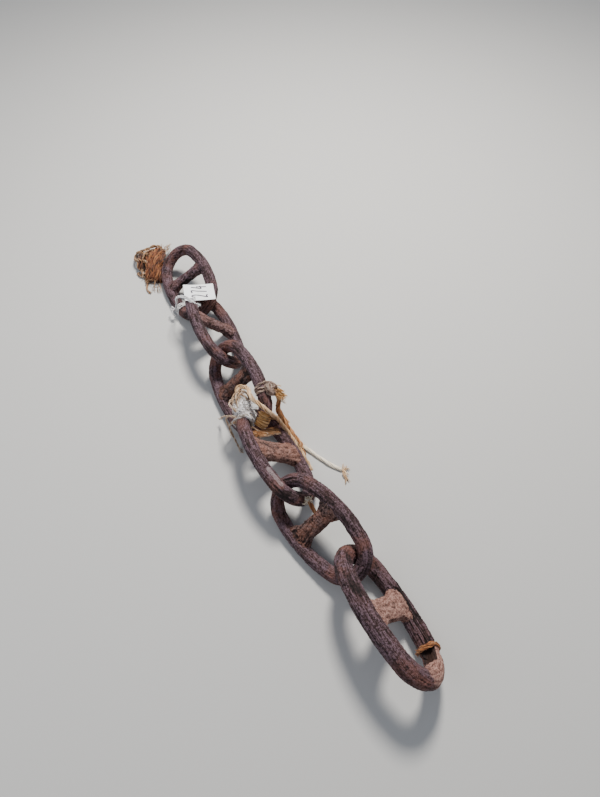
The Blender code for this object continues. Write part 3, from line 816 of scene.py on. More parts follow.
LOOPS = (
    # loose loops and ends of the hank, in metres
    ((-0.030, 0.560, 0.028), (-0.052, 0.585, 0.032), (-0.060, 0.604, 0.020), (-0.040, 0.612, 0.014),
     (-0.015, 0.606, 0.020), (0.000, 0.587, 0.030), (-0.006, 0.560, 0.032)),
    ((-0.045, 0.545, 0.026), (-0.066, 0.570, 0.026), (-0.072, 0.592, 0.012), (-0.055, 0.609, 0.006),
     (-0.030, 0.604, 0.014), (-0.018, 0.580, 0.030)),
    ((-0.058, 0.560, 0.024), (-0.072, 0.580, 0.018), (-0.066, 0.603, 0.012), (-0.048, 0.606, 0.018),
     (-0.038, 0.590, 0.030), (-0.042, 0.566, 0.034)),
    ((0.006, 0.584, 0.026), (-0.014, 0.592, 0.034), (-0.034, 0.582, 0.036), (-0.054, 0.566, 0.030),
     (-0.068, 0.548, 0.014), (-0.074, 0.530, 0.005)),
    ((-0.052, 0.560, 0.022), (-0.064, 0.556, 0.020), (-0.069, 0.540, 0.010), (-0.070, 0.518, 0.005),
     (-0.072, 0.500, 0.003)),
    ((-0.050, 0.530, 0.018), (-0.066, 0.528, 0.012), (-0.078, 0.536, 0.005), (-0.080, 0.552, 0.003)),
    ((-0.060, 0.510, 0.010), (-0.072, 0.500, 0.005), (-0.078, 0.484, 0.003), (-0.075, 0.465, 0.003)),
    ((-0.056, 0.590, 0.018), (-0.068, 0.574, 0.022), (-0.074, 0.556, 0.012), (-0.066, 0.540, 0.012)),
)
fibre_piece(
    "hank_loops", LOOPS, "link_1_body", "brown_rope", tan_fibre,
    fibres=12, yarn=0.0026, turns=30.0, thickness=0.0007, wander=0.0010, fray=1.0, uneven=0.12, seed=5,
)
wisps = []
for wisp in range(HANK_WISPS):
    path = [between(draw, (-0.064, 0.480, 0.004), (-0.040, 0.560, 0.020))]
    heading = draw.uniform(2.4, 4.4)
    for step in range(4):
        heading += draw.uniform(-0.5, 0.5)
        reach = draw.uniform(0.004, 0.008)
        after = path[-1] + Vector((math.cos(heading), math.sin(heading), -0.35)) * reach
        path.append(Vector((max(after.x, HANK_SIDE), after.y, max(after.z, FLOOR_GAP))))
    wisps.append(path)
for wisp in range(FAR_WISPS):
    path = [between(draw, (-0.020, 0.566, 0.010), (0.014, 0.582, 0.026))]
    heading = draw.uniform(0.5, 2.2)
    for step in range(4):
        heading += draw.uniform(-0.5, 0.5)
        ahead = Vector((math.cos(heading), math.sin(heading), draw.uniform(-0.2, 0.5)))
        path.append(path[-1] + ahead * FAR_WISP_STRIDE)
    wisps.append([Vector((point.x, min(point.y, HANK_END), max(point.z, FLOOR_GAP))) for point in path])
fibre_piece(
    "hank_wisps", wisps, "link_1_body", "brown_rope", tan_fibre,
    fibres=3, yarn=0.0008, turns=10.0, thickness=0.0004, wander=0.0018, fray=2.0, uneven=0.3, step=0.0020,
    seed=7,
)


# Tag: a stiff white card, a little curled, with a punched hole and a lot number written by hand. It lies on
# link 1's near crown, held by the string through its hole.
TAG_POINTS_LONG, TAG_POINTS_WIDE = 35, 28
TAG_SIZE = (0.068, 0.054)
TAG_CORNER = 0.0018
TAG_CURL = 0.0022
TAG_THICKNESS = 0.0006
TAG_HOLE = (-0.0125, -0.0225)
TAG_HOLE_RADIUS = 0.0024
TAG_CORNER_POINTS = 6
TAG_HOLE_POINTS = 24
TAG_INK_WIDTH = 0.0015
TAG_INK_LIFT = 0.0001
TAG_TURN = math.radians(3)
TAG_FIGURE_HEIGHT = 0.034
TAG_FIGURE_STEP = 0.0150
TAG_FIGURES_BEFORE_MIDDLE = 1.15
TAG_FIGURES = (
    # each a list of strokes, in heights of the figure
    [[
        (0.02, 0.80), (0.18, 1.0), (0.45, 0.96), (0.52, 0.72), (0.30, 0.38), (0.0, 0.03), (0.30, 0.06),
        (0.60, 0.0),
    ]],
    [[(0.0, 0.97), (0.30, 1.0), (0.58, 0.97), (0.42, 0.55), (0.25, 0.0)]],
    [
        [(0.38, 1.0), (0.20, 0.65), (0.02, 0.36), (0.34, 0.37), (0.62, 0.40)],
        [(0.46, 0.66), (0.42, 0.30), (0.38, 0.0)],
    ],
)
CARD_WHITE = (0.95, 0.96, 0.97)
CARD_DIRT = (0.74, 0.72, 0.68)
INK = (0.020, 0.012, 0.026)
INK_FADED = (0.080, 0.055, 0.090)
CARD_STAINS_PER_METRE = 60.0
INK_GAPS_PER_METRE = 300.0
PAPER_GRAINS_PER_METRE = 900.0

card_corners = [vertex.co for vertex in frame["nodes"]["lot_tag"].data.vertices]
card_corners = np.unique(np.round(card_corners, 6), axis=0)
card_middle = Vector(card_corners.mean(axis=0))
card_across, card_along, card_up = (Vector(row) for row in np.linalg.svd(card_corners - card_middle[:])[2])
card_across *= math.copysign(1, card_across.x)
card_along *= math.copysign(1, card_along.y)
card_up *= math.copysign(1, card_up.z)
card_across, card_along = (Matrix.Rotation(TAG_TURN, 3, card_up) @ edge for edge in (card_across, card_along))


def on_card(x, y, up=0.0):
    """A place on the card's curled face, x along its long side and y along its short one, or over it."""
    curl = TAG_CURL * ((2 * x / TAG_SIZE[0]) ** 2 * 0.7 + (2 * y / TAG_SIZE[1]) ** 3 * 0.35 - 0.2)
    return card_middle + card_across * x + card_along * y + card_up * (curl + up)


def card_outline():
    """The card's outline with its rounded corners."""
    outline = []
    for corner, (sign_x, sign_y) in enumerate(((1, 1), (-1, 1), (-1, -1), (1, -1))):
        centre = (sign_x * (TAG_SIZE[0] / 2 - TAG_CORNER), sign_y * (TAG_SIZE[1] / 2 - TAG_CORNER))
        for step in range(TAG_CORNER_POINTS + 1):
            angle = math.pi / 2 * (corner + step / TAG_CORNER_POINTS)
            out = (TAG_CORNER * math.cos(angle), TAG_CORNER * math.sin(angle))
            outline.append((centre[0] + out[0], centre[1] + out[1]))
    return outline


def filled_card():
    """The card's face, cut from its outline with the hole left out, in small faces that can curl."""
    shape = bmesh.new()
    rim = [shape.verts.new((x, y, 0)) for x, y in card_outline()]
    hole = []
    for step in range(TAG_HOLE_POINTS):
        angle = math.tau * step / TAG_HOLE_POINTS
        x = TAG_HOLE[0] + TAG_HOLE_RADIUS * math.cos(angle)
        y = TAG_HOLE[1] + TAG_HOLE_RADIUS * math.sin(angle)
        hole.append(shape.verts.new((x, y, 0)))
    edges = [shape.edges.new(pair) for loop in (rim, hole) for pair in zip(loop, loop[1:] + loop[:1])]
    bmesh.ops.triangle_fill(shape, edges=edges, use_beauty=True)
    for count, size, axis in ((TAG_POINTS_LONG, TAG_SIZE[0], 0), (TAG_POINTS_WIDE, TAG_SIZE[1], 1)):
        for step in range(1, count):
            normal = Vector((1, 0, 0)) if axis == 0 else Vector((0, 1, 0))
            everything = shape.verts[:] + shape.edges[:] + shape.faces[:]
            place = normal * (size * (step / count - 0.5))
            bmesh.ops.bisect_plane(shape, geom=everything, plane_co=place, plane_no=normal)
    for vertex in shape.verts:
        vertex.co = on_card(vertex.co.x, vertex.co.y)
    bmesh.ops.recalc_face_normals(shape, faces=shape.faces)
    if sum((face.normal for face in shape.faces), Vector()).dot(card_up) < 0:
        bmesh.ops.reverse_faces(shape, faces=shape.faces)
    mesh = bpy.data.meshes.new("card")
    shape.to_mesh(mesh)
    shape.free()
    return mesh


card_paper, tree, shader = made_material("card")
place = wired(tree, "ShaderNodeTexCoord", output="Object")
darkening = step_up(cloud(place, CARD_STAINS_PER_METRE, 5.0, 0.7), 0.50, 0.78) * 0.8
paper_grain = cloud(place, PAPER_GRAINS_PER_METRE, 3.0, 0.6)
fill(shader, {
    "Base Color": mixed(darkening, CARD_WHITE, CARD_DIRT),
    "Roughness": 0.62,
    "Normal": wired(tree, "ShaderNodeBump", {"Height": paper_grain, "Strength": 0.15, "Distance": 0.0003}),
})

card = bpy.data.objects.new("card", filled_card())
bpy.context.scene.collection.objects.link(card)
thick = card.modifiers.new("thickness", "SOLIDIFY")
thick.thickness = TAG_THICKNESS
mesh = bpy.data.meshes.new_from_object(card.evaluated_get(bpy.context.evaluated_depsgraph_get()))
bpy.data.objects.remove(card)
mesh.materials.append(card_paper)
add_piece("tag_card", mesh, "link_1_body", ["lot_tag"])

ink_paint, tree, shader = made_material("pen_ink")
place = wired(tree, "ShaderNodeTexCoord", output="Object")
faded = step_up(cloud(place, INK_GAPS_PER_METRE, 3.0, 0.6), 0.35, 0.7)
fill(shader, {"Base Color": mixed(faded, INK, INK_FADED), "Roughness": 0.6})
strokes = []
for number, figure in enumerate(TAG_FIGURES):
    for stroke in figure:
        smooth = smoothed([(x, y, 0) for x, y in stroke], 6)
        across = [(0.5 - point.y) * TAG_FIGURE_HEIGHT for point in smooth]
        along = [(number - TAG_FIGURES_BEFORE_MIDDLE + point.x) * TAG_FIGURE_STEP for point in smooth]
        strokes.append([on_card(x, y, TAG_INK_LIFT) for x, y in zip(across, along)])
mesh = bpy.data.meshes.new("figures")
points, faces = [], []
for stroke in strokes:
    first, last = len(points), len(stroke) - 1
    for index, point in enumerate(stroke):
        ahead = stroke[min(index + 1, last)] - stroke[max(index - 1, 0)]
        beside = card_up.cross(ahead).normalized() * TAG_INK_WIDTH
        rise = card_up * TAG_INK_LIFT
        points += [point - beside, point + beside, point + beside + rise, point - beside + rise]
    for index in range(last):
        low = first + 4 * index
        for side in range(4):
            after = (side + 1) % 4
            faces.append((low + side, low + after, low + 4 + after, low + 4 + side))
    low = first + 4 * last
    faces += [(first + 3, first + 2, first + 1, first), (low, low + 1, low + 2, low + 3)]
mesh.from_pydata(points, [], faces)
mesh.materials.append(ink_paint)
add_piece("tag_number", mesh, "link_1_body")


# Tag string: thin white string tied round link 1's low bar, its short ends sticking out of the knot, with a
# doubled run up to the hole in the card.
STRING_TURNS = 3
STRING_ANGLES = (281.0, 283.6)
STRING_TURN_BY = 345
STRING_LIFTS = (0.0008, 0.0022)
STRING_TONES = ((0.52, 0.49, 0.48), (0.88, 0.86, 0.85), (0.95, 0.94, 0.94))
white_fibre = fibre_paint("white_string_fibre", *STRING_TONES, darkening=0.35)


def evenly(span, count):
    """This many numbers, in even steps from the first to the last of the span."""
    return [span[0] + (span[1] - span[0]) * step / (count - 1) for step in range(count)]


def shifted(points, by):
    """The points, all moved by this much."""
    return [Vector(point) + by for point in points]


draw = random.Random(47)
strings = []
for angle in evenly(STRING_ANGLES, STRING_TURNS):
    start = draw.uniform(-70, -40)
    angles = (angle, angle + draw.uniform(-1.5, 1.5))
    strings.append(wound("link_1", angles, (start, start + STRING_TURN_BY), STRING_LIFTS))
knot_at = on_bar("link_1", 282.0, 62, 0.005)
STRING_ENDS = (
    ((-0.006, 0.004, 0.003), (-0.009, 0.010, -0.002), (-0.008, 0.013, -0.008)),
    ((-0.007, 0.000, 0.002), (-0.009, -0.006, -0.004), (-0.006, -0.009, -0.010)),
    ((-0.003, 0.005, 0.006), (-0.007, 0.008, 0.005), (-0.008, 0.002, 0.001)),
)
strings += [[knot_at, *shifted(end, knot_at)] for end in STRING_ENDS]
hole = on_card(*TAG_HOLE)
OVER_LINK = ((-0.038, 0.366, 0.046), (-0.041, 0.346, 0.078), (-0.034, 0.326, 0.099), (-0.024, 0.311, 0.1035))
BESIDE_STRING = Vector((0.0026, 0.0020, 0.0012))
THROUGH_HOLE = (
    (-0.005, 0.001, 0.0030), (0.0, 0.0, -0.003), (-0.004, -0.007, -0.006), (-0.010, -0.009, 0.000),
    (-0.014, 0.002, 0.003),
)
PAST_HOLE = ((-0.009, -0.004, 0.002), (-0.002, -0.012, -0.003), (0.006, -0.017, -0.009))
strings.append([knot_at, *OVER_LINK, *shifted(THROUGH_HOLE, hole)])
strings.append([knot_at, *shifted(OVER_LINK, BESIDE_STRING), *shifted(PAST_HOLE, hole)])
fibre_piece(
    "tag_string_turns", strings, "link_1_body", "pale_twine", white_fibre, ["tag_string"],
    fibres=13, yarn=0.0015, turns=60.0, thickness=0.0005, wander=0.0004, fray=0.5, uneven=0.03, step=0.0020,
    seed=11,
)


# Twine bundle: pale twine wound round link 4's high bar and left to fray, so that its turns have opened to a
# white web of fibres. Loose loops lie over the crown, ends hang down the outside, and one long thick strand
# runs over the low bar to the floor.
BUNDLE_TURNS = 15
BUNDLE_ANGLES = (196, 234)
BUNDLE_TURN_BY = 360
BUNDLE_LIFTS = (0.0010, 0.0035)
BUNDLE_STRAY = 0.0012
BAR_STRANDS = 34
EDGE_STRANDS = 34
TWINE_SHADE = (0.220, 0.165, 0.125)
TWINE_WHITE = (0.850, 0.820, 0.780)
WEB_TONES = ((0.28, 0.23, 0.21), (0.88, 0.84, 0.83), (0.98, 0.97, 0.97))
twine_fibre = fibre_paint("pale_twine_fibre", TWINE_SHADE, TWINE_PALE, TWINE_WHITE)
draw = random.Random(52)
turns = []
for angle in evenly(BUNDLE_ANGLES, BUNDLE_TURNS):
    start = draw.uniform(-120, -60)
    angles = (angle - 3, angle + draw.uniform(0, 6))
    path = wound("link_4", angles, (start, start + BUNDLE_TURN_BY), BUNDLE_LIFTS)
    turns.append([strewn(draw, point, BUNDLE_STRAY) for point in path])
fibre_piece(
    "bundle_turns", turns, "link_4_body", "pale_twine", twine_fibre, ["twine_bundle"],
    fibres=8, yarn=0.0024, turns=20.0, thickness=0.0004, sides=3, wander=0.0030, fray=1.0, uneven=0.10,
    step=0.0024, seed=13,
)
web = []
for strand in range(BAR_STRANDS):
    angle, turned = draw.uniform(198, 234), draw.uniform(0, 150)
    path = [on_bar("link_4", angle, turned, 0.002)]
    for step in range(5):
        angle = min(max(angle + draw.uniform(-9, 9), 194), 238)
        turned = turned + draw.uniform(-40, 40)
        path.append(on_bar("link_4", angle, turned, draw.uniform(0.003, 0.009)))
    web.append(path)
WEB_MIDDLE = Vector((-0.0355, 0.0085, 0.0790))
WEB_LONG = Vector((0.008, 0.019, -0.001))
WEB_WIDE = Vector((0.0145, -0.0060, 0.0))
WEB_UP = Vector((0.0, -0.003, 0.014))
WEB_STRANDS = 84
WEB_STRIDE = 0.34
for strand in range(WEB_STRANDS):
    ray = Vector((draw.gauss(0, 1), draw.gauss(0, 1), abs(draw.gauss(0, 1)))).normalized()
    heading = between(draw, (-1, -1, -0.6), (1, 1, 0.6))
    path = []
    for step in range(draw.choice((4, 5, 7))):
        out = draw.uniform(0.86, 1.08)
        path.append(WEB_MIDDLE + (WEB_LONG * ray.x + WEB_WIDE * ray.y + WEB_UP * ray.z) * out)
        heading += between(draw, (-0.5, -0.5, -0.4), (0.5, 0.5, 0.4))
        ray = (ray + heading.normalized() * WEB_STRIDE).normalized()
        ray.z = max(ray.z, -0.35)
    web.append(path)
for strand in range(EDGE_STRANDS):
    over = math.radians(draw.uniform(-75, 40))
    out = WEB_WIDE * math.cos(over) + WEB_LONG * math.sin(over)
    path = [WEB_MIDDLE + out * 0.6 + WEB_UP * 0.85]
    for step in (1.0, 1.4, draw.uniform(1.5, 2.3)):
        fall = WEB_UP * (0.95 - 0.9 * (step - 0.6)) + Vector((0, 0, draw.uniform(-0.002, 0.002)))
        path.append(WEB_MIDDLE + out * step + fall)
    web.append(path)
web_fibre = fibre_paint("web_fibre", *WEB_TONES, darkening=0.3)
fibre_piece(
    "bundle_web", web, "link_4_body", "pale_twine", web_fibre,
    fibres=3, yarn=0.0009, turns=10.0, thickness=0.0005, sides=3, wander=0.0018, waves=90.0, fray=1.2,
    uneven=0.10, step=0.0024, seed=17,
)
BUNDLE_LOOPS = (
    # loops over the crown and ends that hang outside the high bar, in metres
    ((-0.042, 0.000, 0.088), (-0.038, 0.018, 0.096), (-0.030, 0.034, 0.094), (-0.018, 0.038, 0.090),
     (-0.010, 0.028, 0.084), (-0.012, 0.012, 0.076), (-0.018, 0.004, 0.068)),
    ((-0.044, -0.004, 0.088), (-0.052, 0.010, 0.090), (-0.050, 0.026, 0.086), (-0.038, 0.034, 0.082),
     (-0.026, 0.030, 0.078), (-0.026, 0.014, 0.076)),
    ((-0.026, 0.022, 0.086), (-0.030, 0.034, 0.086), (-0.027, 0.044, 0.084), (-0.020, 0.040, 0.088),
     (-0.019, 0.030, 0.090)),
    ((-0.036, 0.016, 0.088), (-0.031, 0.026, 0.092), (-0.023, 0.030, 0.090), (-0.016, 0.022, 0.086),
     (-0.018, 0.012, 0.082), (-0.026, 0.012, 0.084)),
    ((-0.046, 0.016, 0.086), (-0.040, 0.032, 0.088), (-0.026, 0.042, 0.086), (-0.013, 0.038, 0.084),
     (-0.009, 0.026, 0.080), (-0.014, 0.010, 0.074)),
    ((-0.050, -0.010, 0.082), (-0.062, 0.004, 0.076), (-0.068, 0.010, 0.058), (-0.066, 0.008, 0.036),
     (-0.064, 0.002, 0.014), (-0.066, -0.004, 0.003)),
    ((-0.054, -0.016, 0.080), (-0.066, -0.010, 0.070), (-0.070, -0.010, 0.046), (-0.066, -0.018, 0.024),
     (-0.064, -0.030, 0.006), (-0.062, -0.046, 0.002)),
    ((-0.048, -0.006, 0.076), (-0.062, 0.012, 0.064), (-0.068, 0.028, 0.044), (-0.070, 0.038, 0.024),
     (-0.072, 0.046, 0.014)),
)
loop_fibre = fibre_paint("loose_twine_fibre", (0.20, 0.11, 0.06), (0.60, 0.40, 0.25), (0.88, 0.76, 0.62))
fibre_piece(
    "bundle_loops", BUNDLE_LOOPS, "link_4_body", "pale_twine", loop_fibre,
    fibres=11, yarn=0.0019, turns=40.0, thickness=0.0005, wander=0.0008, fray=1.6, uneven=0.08, step=0.0024,
    seed=19,
)
BEIGE_STRAND = (
    (-0.028, 0.032, 0.088), (-0.024, 0.045, 0.090), (-0.016, 0.048, 0.090), (-0.008, 0.040, 0.092),
    (-0.006, 0.030, 0.097), (-0.009, 0.016, 0.101), (-0.009, -0.001, 0.1035), (-0.003, -0.018, 0.1030),
    (0.008, -0.034, 0.091), (0.021, -0.040, 0.067), (0.028, -0.042, 0.047), (0.033, -0.045, 0.032),
    (0.038, -0.052, 0.0180), (0.0405, -0.062, 0.0095), (0.0435, -0.074, 0.005), (0.0465, -0.086, 0.004),
    (0.0505, -0.100, 0.004),
)
beige_fibre = fibre_paint(
    "beige_twine_fibre", (0.24, 0.12, 0.05), (0.72, 0.44, 0.22), (0.90, 0.71, 0.48), darkening=0.6
)
fibre_piece(
    "bundle_strand", [BEIGE_STRAND], "link_4_body", "pale_twine", beige_fibre,
    fibres=34, yarn=0.0043, turns=18.0, thickness=0.0008, wander=0.0004, fray=0.4, uneven=0.03, seed=21,
)


# Rope band and strap: flattened mustard rope wound over link 4's far crown and the crown of link 3 that is
# hooked in it, and a second length that crosses link 4's window from bar to bar, with pale strands under its
# edge.
BAND_TURNS = 13
BAND_ANGLES = (142, 171)
EDGE_ANGLES = (140, 176)
EDGE_AT, EDGE_SWAY, EDGE_LIFT = 118, 6, 0.0028
INNER_TURNS = 17
INNER_ANGLES = (5, 35)
STRAP_YARNS = 6
STRAP_YARN_STEP = 0.0022
mustard_fibre = fibre_paint(
    "mustard_rope_fibre", (0.13, 0.05, 0.01), (0.740, 0.370, 0.110), (0.920, 0.660, 0.350), darkening=0.4
)


def windings(draw, node, count, angles, drift, starts, turn_by, lifts, stray, points=13):
    """Turns round a link's bar, evenly from the first angle to the last, each begun and strewn at random."""
    paths = []
    for angle in evenly(angles, count):
        start = draw.uniform(*starts)
        path = wound(node, (angle + drift[0], angle + drift[1]), (start, start + turn_by), lifts, points)
        paths.append([strewn(draw, point, stray) for point in path])
    return paths


draw = random.Random(63)
turns = windings(
    draw, "link_4", BAND_TURNS, BAND_ANGLES, drift=(0, 2), starts=(-100, -70), turn_by=340,
    lifts=(0.0002, 0.0012), stray=0.0005,
)
turns.append([
    on_bar("link_4", angle, EDGE_AT + EDGE_SWAY * math.sin(step), EDGE_LIFT)
    for step, angle in enumerate(evenly(EDGE_ANGLES, 10))
])
fibre_piece(
    "band_turns", turns, "link_4_body", "brown_rope", mustard_fibre, ["rope_band"],
    fibres=9, yarn=0.0016, turns=22.0, thickness=0.00042, sides=3, wander=0.0005, fray=1.0, uneven=0.05,
    step=0.0026, seed=23,
)

inner_turns = windings(
    draw, "link_3", INNER_TURNS, INNER_ANGLES, drift=(0, 2), starts=(-100, -80), turn_by=180,
    lifts=(0.0002, 0.0008), stray=0.0007, points=9,
)
fibre_piece(
    "inner_band", inner_turns, "link_3_body", "brown_rope", mustard_fibre,
    fibres=10, yarn=0.0017, turns=18.0, thickness=0.0006, sides=3, wander=0.0006, fray=0.6, uneven=0.06,
    seed=25,
)

STRAP_POINTS = (
    # from the high bar's inner side to the low bar's top, in metres
    (-0.0385, -0.0515, 0.0665), (-0.0310, -0.0518, 0.0640), (-0.0200, -0.0520, 0.0595),
    (-0.0080, -0.0518, 0.0535), (0.0040, -0.0510, 0.0470), (0.0130, -0.0500, 0.0405),
    (0.0205, -0.0495, 0.0355),
)
rope_mix = fibre_paint(
    "orange_rope_fibre", (0.10, 0.04, 0.01), (0.58, 0.24, 0.080), (0.80, 0.52, 0.28), darkening=0.5
)
straps = []
for yarn in range(STRAP_YARNS):
    shift = Vector((0.0004, 1, 0.0)) * ((yarn - (STRAP_YARNS - 1) / 2) * STRAP_YARN_STEP)
    rise = Vector((0, 0, 0.0010 * (yarn % 2)))
    straps.append([strewn(draw, Vector(point) + shift + rise, 0.0008) for point in STRAP_POINTS])
fibre_piece(
    "strap_yarns", straps, "link_4_body", "brown_rope", rope_mix, ["rope_strap"],
    fibres=10, yarn=0.0019, turns=20.0, thickness=0.0005, sides=3, wander=0.0012, fray=2.0, uneven=0.12,
    seed=29,
)
pale_edges = [
    shifted(STRAP_POINTS[1:], Vector((0, -0.0085, -0.0005))),
    [on_bar("link_4", 205, 150, 0.003), (-0.026, -0.028, 0.056), (-0.012, -0.042, 0.050),
     (0.002, -0.054, 0.042)],
    [(-0.034, -0.034, 0.072), (-0.026, -0.044, 0.066), (-0.016, -0.050, 0.060), (-0.008, -0.058, 0.054)],
]
fibre_piece(
    "strap_edge", pale_edges, "link_4_body", "brown_rope", tan_fibre,
    fibres=8, yarn=0.0013, turns=40.0, thickness=0.0005, wander=0.0006, fray=2.0, uneven=0.06, step=0.0024,
    seed=31,
)


# Rope knot: a rough lump of old grey rope round link 3's high bar, browner where it has come undone, with a
# strand that runs down over link 4's low bar.
KNOT_TURNS = 3
KNOT_ANGLES = (75.5, 78.5)
KNOT_TURN_BY = 350
KNOT_LIFTS = (0.0006, 0.0016)
KNOT_LUMP = (0.0112, 0.0138, 0.0092)
KNOT_COILS = 15
KNOT_LOOSE_ENDS = 52
grey_fibre = fibre_paint(
    "grey_rope_fibre", (0.10, 0.055, 0.042), (0.42, 0.27, 0.20), (0.68, 0.52, 0.42), darkening=0.9
)
draw = random.Random(74)
turns = []
for angle in evenly(KNOT_ANGLES, KNOT_TURNS):
    start = draw.uniform(-90, -40)
    stray = draw.uniform(-2, 2)
    path = wound("link_3", (angle + stray, angle - stray), (start, start + KNOT_TURN_BY), KNOT_LIFTS)
    turns.append([strewn(draw, point, 0.0008) for point in path])
lump_at = Vector((0.0320, 0.0050, 0.1065))
for coil in range(KNOT_COILS):
    axis = between(draw, (-1, -1, -1), (1, 1, 1)).normalized()
    start = axis.orthogonal().normalized()
    path = []
    for step in range(8):
        ray = Matrix.Rotation(math.radians(34 * step), 3, axis) @ start
        path.append(lump_at + Vector([radius * value for radius, value in zip(KNOT_LUMP, ray)]))
    turns.append([strewn(draw, point, 0.001) for point in path])
fibre_piece(
    "knot_turns", turns, "link_3_body", "brown_rope", grey_fibre, ["rope_knot"],
    fibres=12, yarn=0.0022, turns=24.0, thickness=0.00055, sides=3, wander=0.0014, fray=1.0, uneven=0.10,
    seed=37,
)


def loose_end(draw, start, low, high):
    """A path of four strides from this point, each drawn at random between two corners."""
    path = [start]
    for step in range(4):
        path.append(path[-1] + between(draw, low, high))
    return path


loose = []
for end in range(KNOT_LOOSE_ENDS):
    start = lump_at + between(draw, (0.000, -0.013, -0.010), (0.010, 0.008, 0.004))
    loose.append(loose_end(draw, start, (-0.001, -0.0080, -0.0050), (0.0060, 0.0005, 0.0005)))
fibre_piece(
    "knot_ends", loose, "link_3_body", "brown_rope", mustard_fibre,
    fibres=5, yarn=0.0012, turns=10.0, thickness=0.0005, sides=3, wander=0.0018, fray=1.6, uneven=0.2,
    step=0.0022, seed=39,
)
KNOT_STRAND = (
    (0.030, 0.010, 0.106), (0.037, 0.000, 0.102), (0.0395, -0.011, 0.094), (0.036, -0.018, 0.084),
    (0.0325, -0.020, 0.070), (0.0330, -0.020, 0.057), (0.0360, -0.024, 0.043), (0.0395, -0.032, 0.030),
    (0.0435, -0.042, 0.020), (0.0465, -0.053, 0.012), (0.0490, -0.066, 0.007), (0.0510, -0.080, 0.0045),
    (0.0530, -0.094, 0.004),
)
BESIDE_STRAND = Vector((0.0030, 0.0036, 0.0006))
strand = fibre_piece(
    "knot_strand", [KNOT_STRAND, shifted(KNOT_STRAND[:9], BESIDE_STRAND)], None, "brown_rope", rope_mix,
    fibres=30, yarn=0.0042, turns=18.0, thickness=0.0008, wander=0.0007, fray=0.3, uneven=0.04, seed=41,
)
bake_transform(strand)


# Crown twine: a few turns of rust-soaked fibre round the end link, at the near end of its low bar. Nothing
# ties them, and they have shrunk tight to the iron.
CROWN_TURNS = 7
CROWN_ANGLES = (66.5, 72.5)
rusty_fibre = fibre_paint(
    "rusty_twine_fibre", (0.110, 0.030, 0.010), (0.470, 0.165, 0.045), (0.620, 0.340, 0.160), darkening=0.6
)
turns = windings(
    random.Random(85), "link_6", CROWN_TURNS, CROWN_ANGLES, drift=(-1, 1), starts=(-80, -60), turn_by=330,
    lifts=(0.0008, 0.0026), stray=0.0008,
)
fibre_piece(
    "crown_turns", turns, "link_6_body", "brown_rope", rusty_fibre, ["crown_twine"],
    fibres=9, yarn=0.0018, turns=30.0, thickness=0.0005, sides=3, wander=0.0018, fray=1.8, uneven=0.10,
    step=0.0024, seed=43,
)


# Stud tuft: a pinch of old twine caught on stud 5's far side, which stands up from it on a rusty stalk. It
# holds by its own tangle.
TUFT_STALK = (
    (-0.0040, -0.2400, 0.0440), (-0.0040, -0.2330, 0.0490), (-0.0050, -0.2240, 0.0540),
    (-0.0055, -0.2180, 0.0575),
)
STUD_TUFT_ENDS = 24
tuft_fibre = fibre_paint("tuft_fibre", (0.45, 0.32, 0.20), (0.90, 0.77, 0.60), (0.97, 0.92, 0.84), darkening=0.2)
draw = random.Random(96)
tuft = [
    loose_end(draw, Vector(TUFT_STALK[-1]), (-0.0060, -0.0045, -0.003), (0.0040, 0.0060, 0.003))
    for end in range(STUD_TUFT_ENDS)
]
fibre_piece(
    "stud_tuft", tuft, "link_5_body", "pale_twine", tuft_fibre,
    fibres=7, yarn=0.0017, turns=10.0, thickness=0.0006, sides=3, wander=0.0012, uneven=0.2, step=0.0020,
    seed=47,
)
fibre_piece(
    "tuft_stalk", [TUFT_STALK], "link_5_body", "brown_rope", rusty_fibre,
    fibres=24, yarn=0.0036, turns=20.0, thickness=0.0007, wander=0.0008, fray=0.3, uneven=0.05, step=0.0020,
    seed=49,
)


# Rope tail: the rope's loose end, a free cord of two yarns that lie side by side, then close up. It leaves
# the wound rope over the low bar and lies along the floor, brown near the chain and bleached at its frayed
# tip.
ROPE_STEPS = 2
ROPE_ROUTE = (
    (0.0294, 0.0869, 0.0435), (0.0350, 0.0863, 0.0398), (0.0410, 0.0844, 0.0342), (0.0461, 0.0811, 0.0270),
    (0.0504, 0.0749, 0.0197), (0.0541, 0.0639, 0.0110), (0.0571, 0.0519, 0.0050), (0.0606, 0.0399, 0.0032),
    (0.0646, 0.0259, 0.0032), (0.0696, 0.0109, 0.0032), (0.0771, -0.0061, 0.0032), (0.0861, -0.0281, 0.0032),
    (0.1006, -0.0551, 0.0032), (0.1116, -0.0691, 0.0032),
)
TAIL_PARTING = 0.0017
TAIL_CLOSED = 0.15
below_base = Vector((lies["link_4"].translation.x, lies["link_4"].translation.y, 0))
route = shifted(smoothed(ROPE_ROUTE, ROPE_STEPS), below_base)
tail_long = sum((one - two).length for one, two in zip(route, route[1:]))
TAIL_TONES = ((0.16, 0.08, 0.035), (0.560, 0.310, 0.130), (0.740, 0.520, 0.300), (0.95, 0.86, 0.70))
bleached_fibre = fibre_paint("rope_tail_fibre", *TAIL_TONES, darkening=0.4)
yarns = []
for side in (-1, 1):
    path = []
    for index, point in enumerate(route):
        ahead = route[min(index + 1, len(route) - 1)] - route[max(index - 1, 0)]
        across = Vector((-ahead.y, ahead.x, 0)).normalized()
        share = index / (len(route) - 1)
        parted = TAIL_PARTING * (1.0 if share < 0.5 else max(TAIL_CLOSED, 1 - 4 * (share - 0.5)))
        path.append(point + across * parted * side)
    yarns.append(path)
lines = curve_of("rope_tail", yarns)
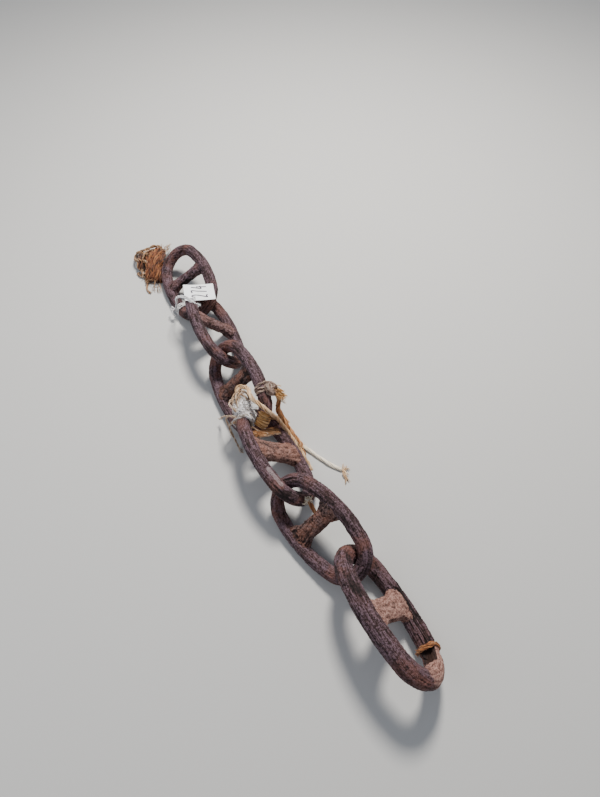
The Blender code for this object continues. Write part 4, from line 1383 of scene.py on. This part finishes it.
sizes = {"fibres": 46, "yarn": 0.0032, "turns": 18.0, "thickness": 0.0008, "wander": 0.0002, "fray": 0.1}
sizes |= {"uneven": 0.02, "step": 0.0030, "seed": 53, "finish": bleached_fibre}
tail = add_piece("tail_yarns", grown(lines, (fibre_tree, sizes)), "link_4_body", ["rope_tail"])

# Round the tail: its own frayed tips, a short strand over the low bar beside it, and a tuft on the floor
# where the two long strands end.
TAIL_TIPS = (
    (0.104, -0.190), (0.111, -0.182), (0.111, -0.172), (0.096, -0.200), (0.086, -0.206), (0.108, -0.164),
    (0.092, -0.190), (0.098, -0.204),
)
draw = random.Random(107)
frays = []
for tip in TAIL_TIPS:
    stray = Vector((draw.uniform(-0.005, 0.005), draw.uniform(-0.004, 0.004), 0.002))
    middle = route[-1].lerp(Vector((*tip, 0.002)), 0.5) + stray
    frays.append([route[-4], route[-1], middle, (*tip, 0.0015)])
fibre_piece(
    "tail_tips", frays, "link_4_body", "pale_twine", beige_fibre,
    fibres=7, yarn=0.0014, turns=12.0, thickness=0.00045, wander=0.0014, fray=1.2, uneven=0.12, seed=59,
)
SHORT_STRAND = [
    on_bar("link_4", angle, turned, 0.003)
    for angle, turned in ((92.5, 34), (90, 42), (87.5, 46), (85, 48), (82, 46), (79, 40))
]
fibre_piece(
    "short_strand", [SHORT_STRAND], "link_4_body", "pale_twine", beige_fibre,
    fibres=18, yarn=0.0024, turns=26.0, thickness=0.0006, wander=0.0006, fray=0.5, uneven=0.05, seed=61,
)
TUFT_FROM = Vector((0.047, -0.098, 0.005))
TAIL_TUFT_ENDS = 10
tuft = []
for end in range(TAIL_TUFT_ENDS):
    reach = between(draw, (-0.012, -0.018, -0.001), (0.002, -0.004, 0.005))
    tuft.append([TUFT_FROM, TUFT_FROM + reach * 0.5 + Vector((0.002, 0, 0.003)), TUFT_FROM + reach])
fibre_piece(
    "tail_tuft", tuft, "link_4_body", "brown_rope", rope_mix,
    fibres=7, yarn=0.0014, turns=30.0, thickness=0.0005, wander=0.0012, fray=1.2, uneven=0.1, seed=67,
)
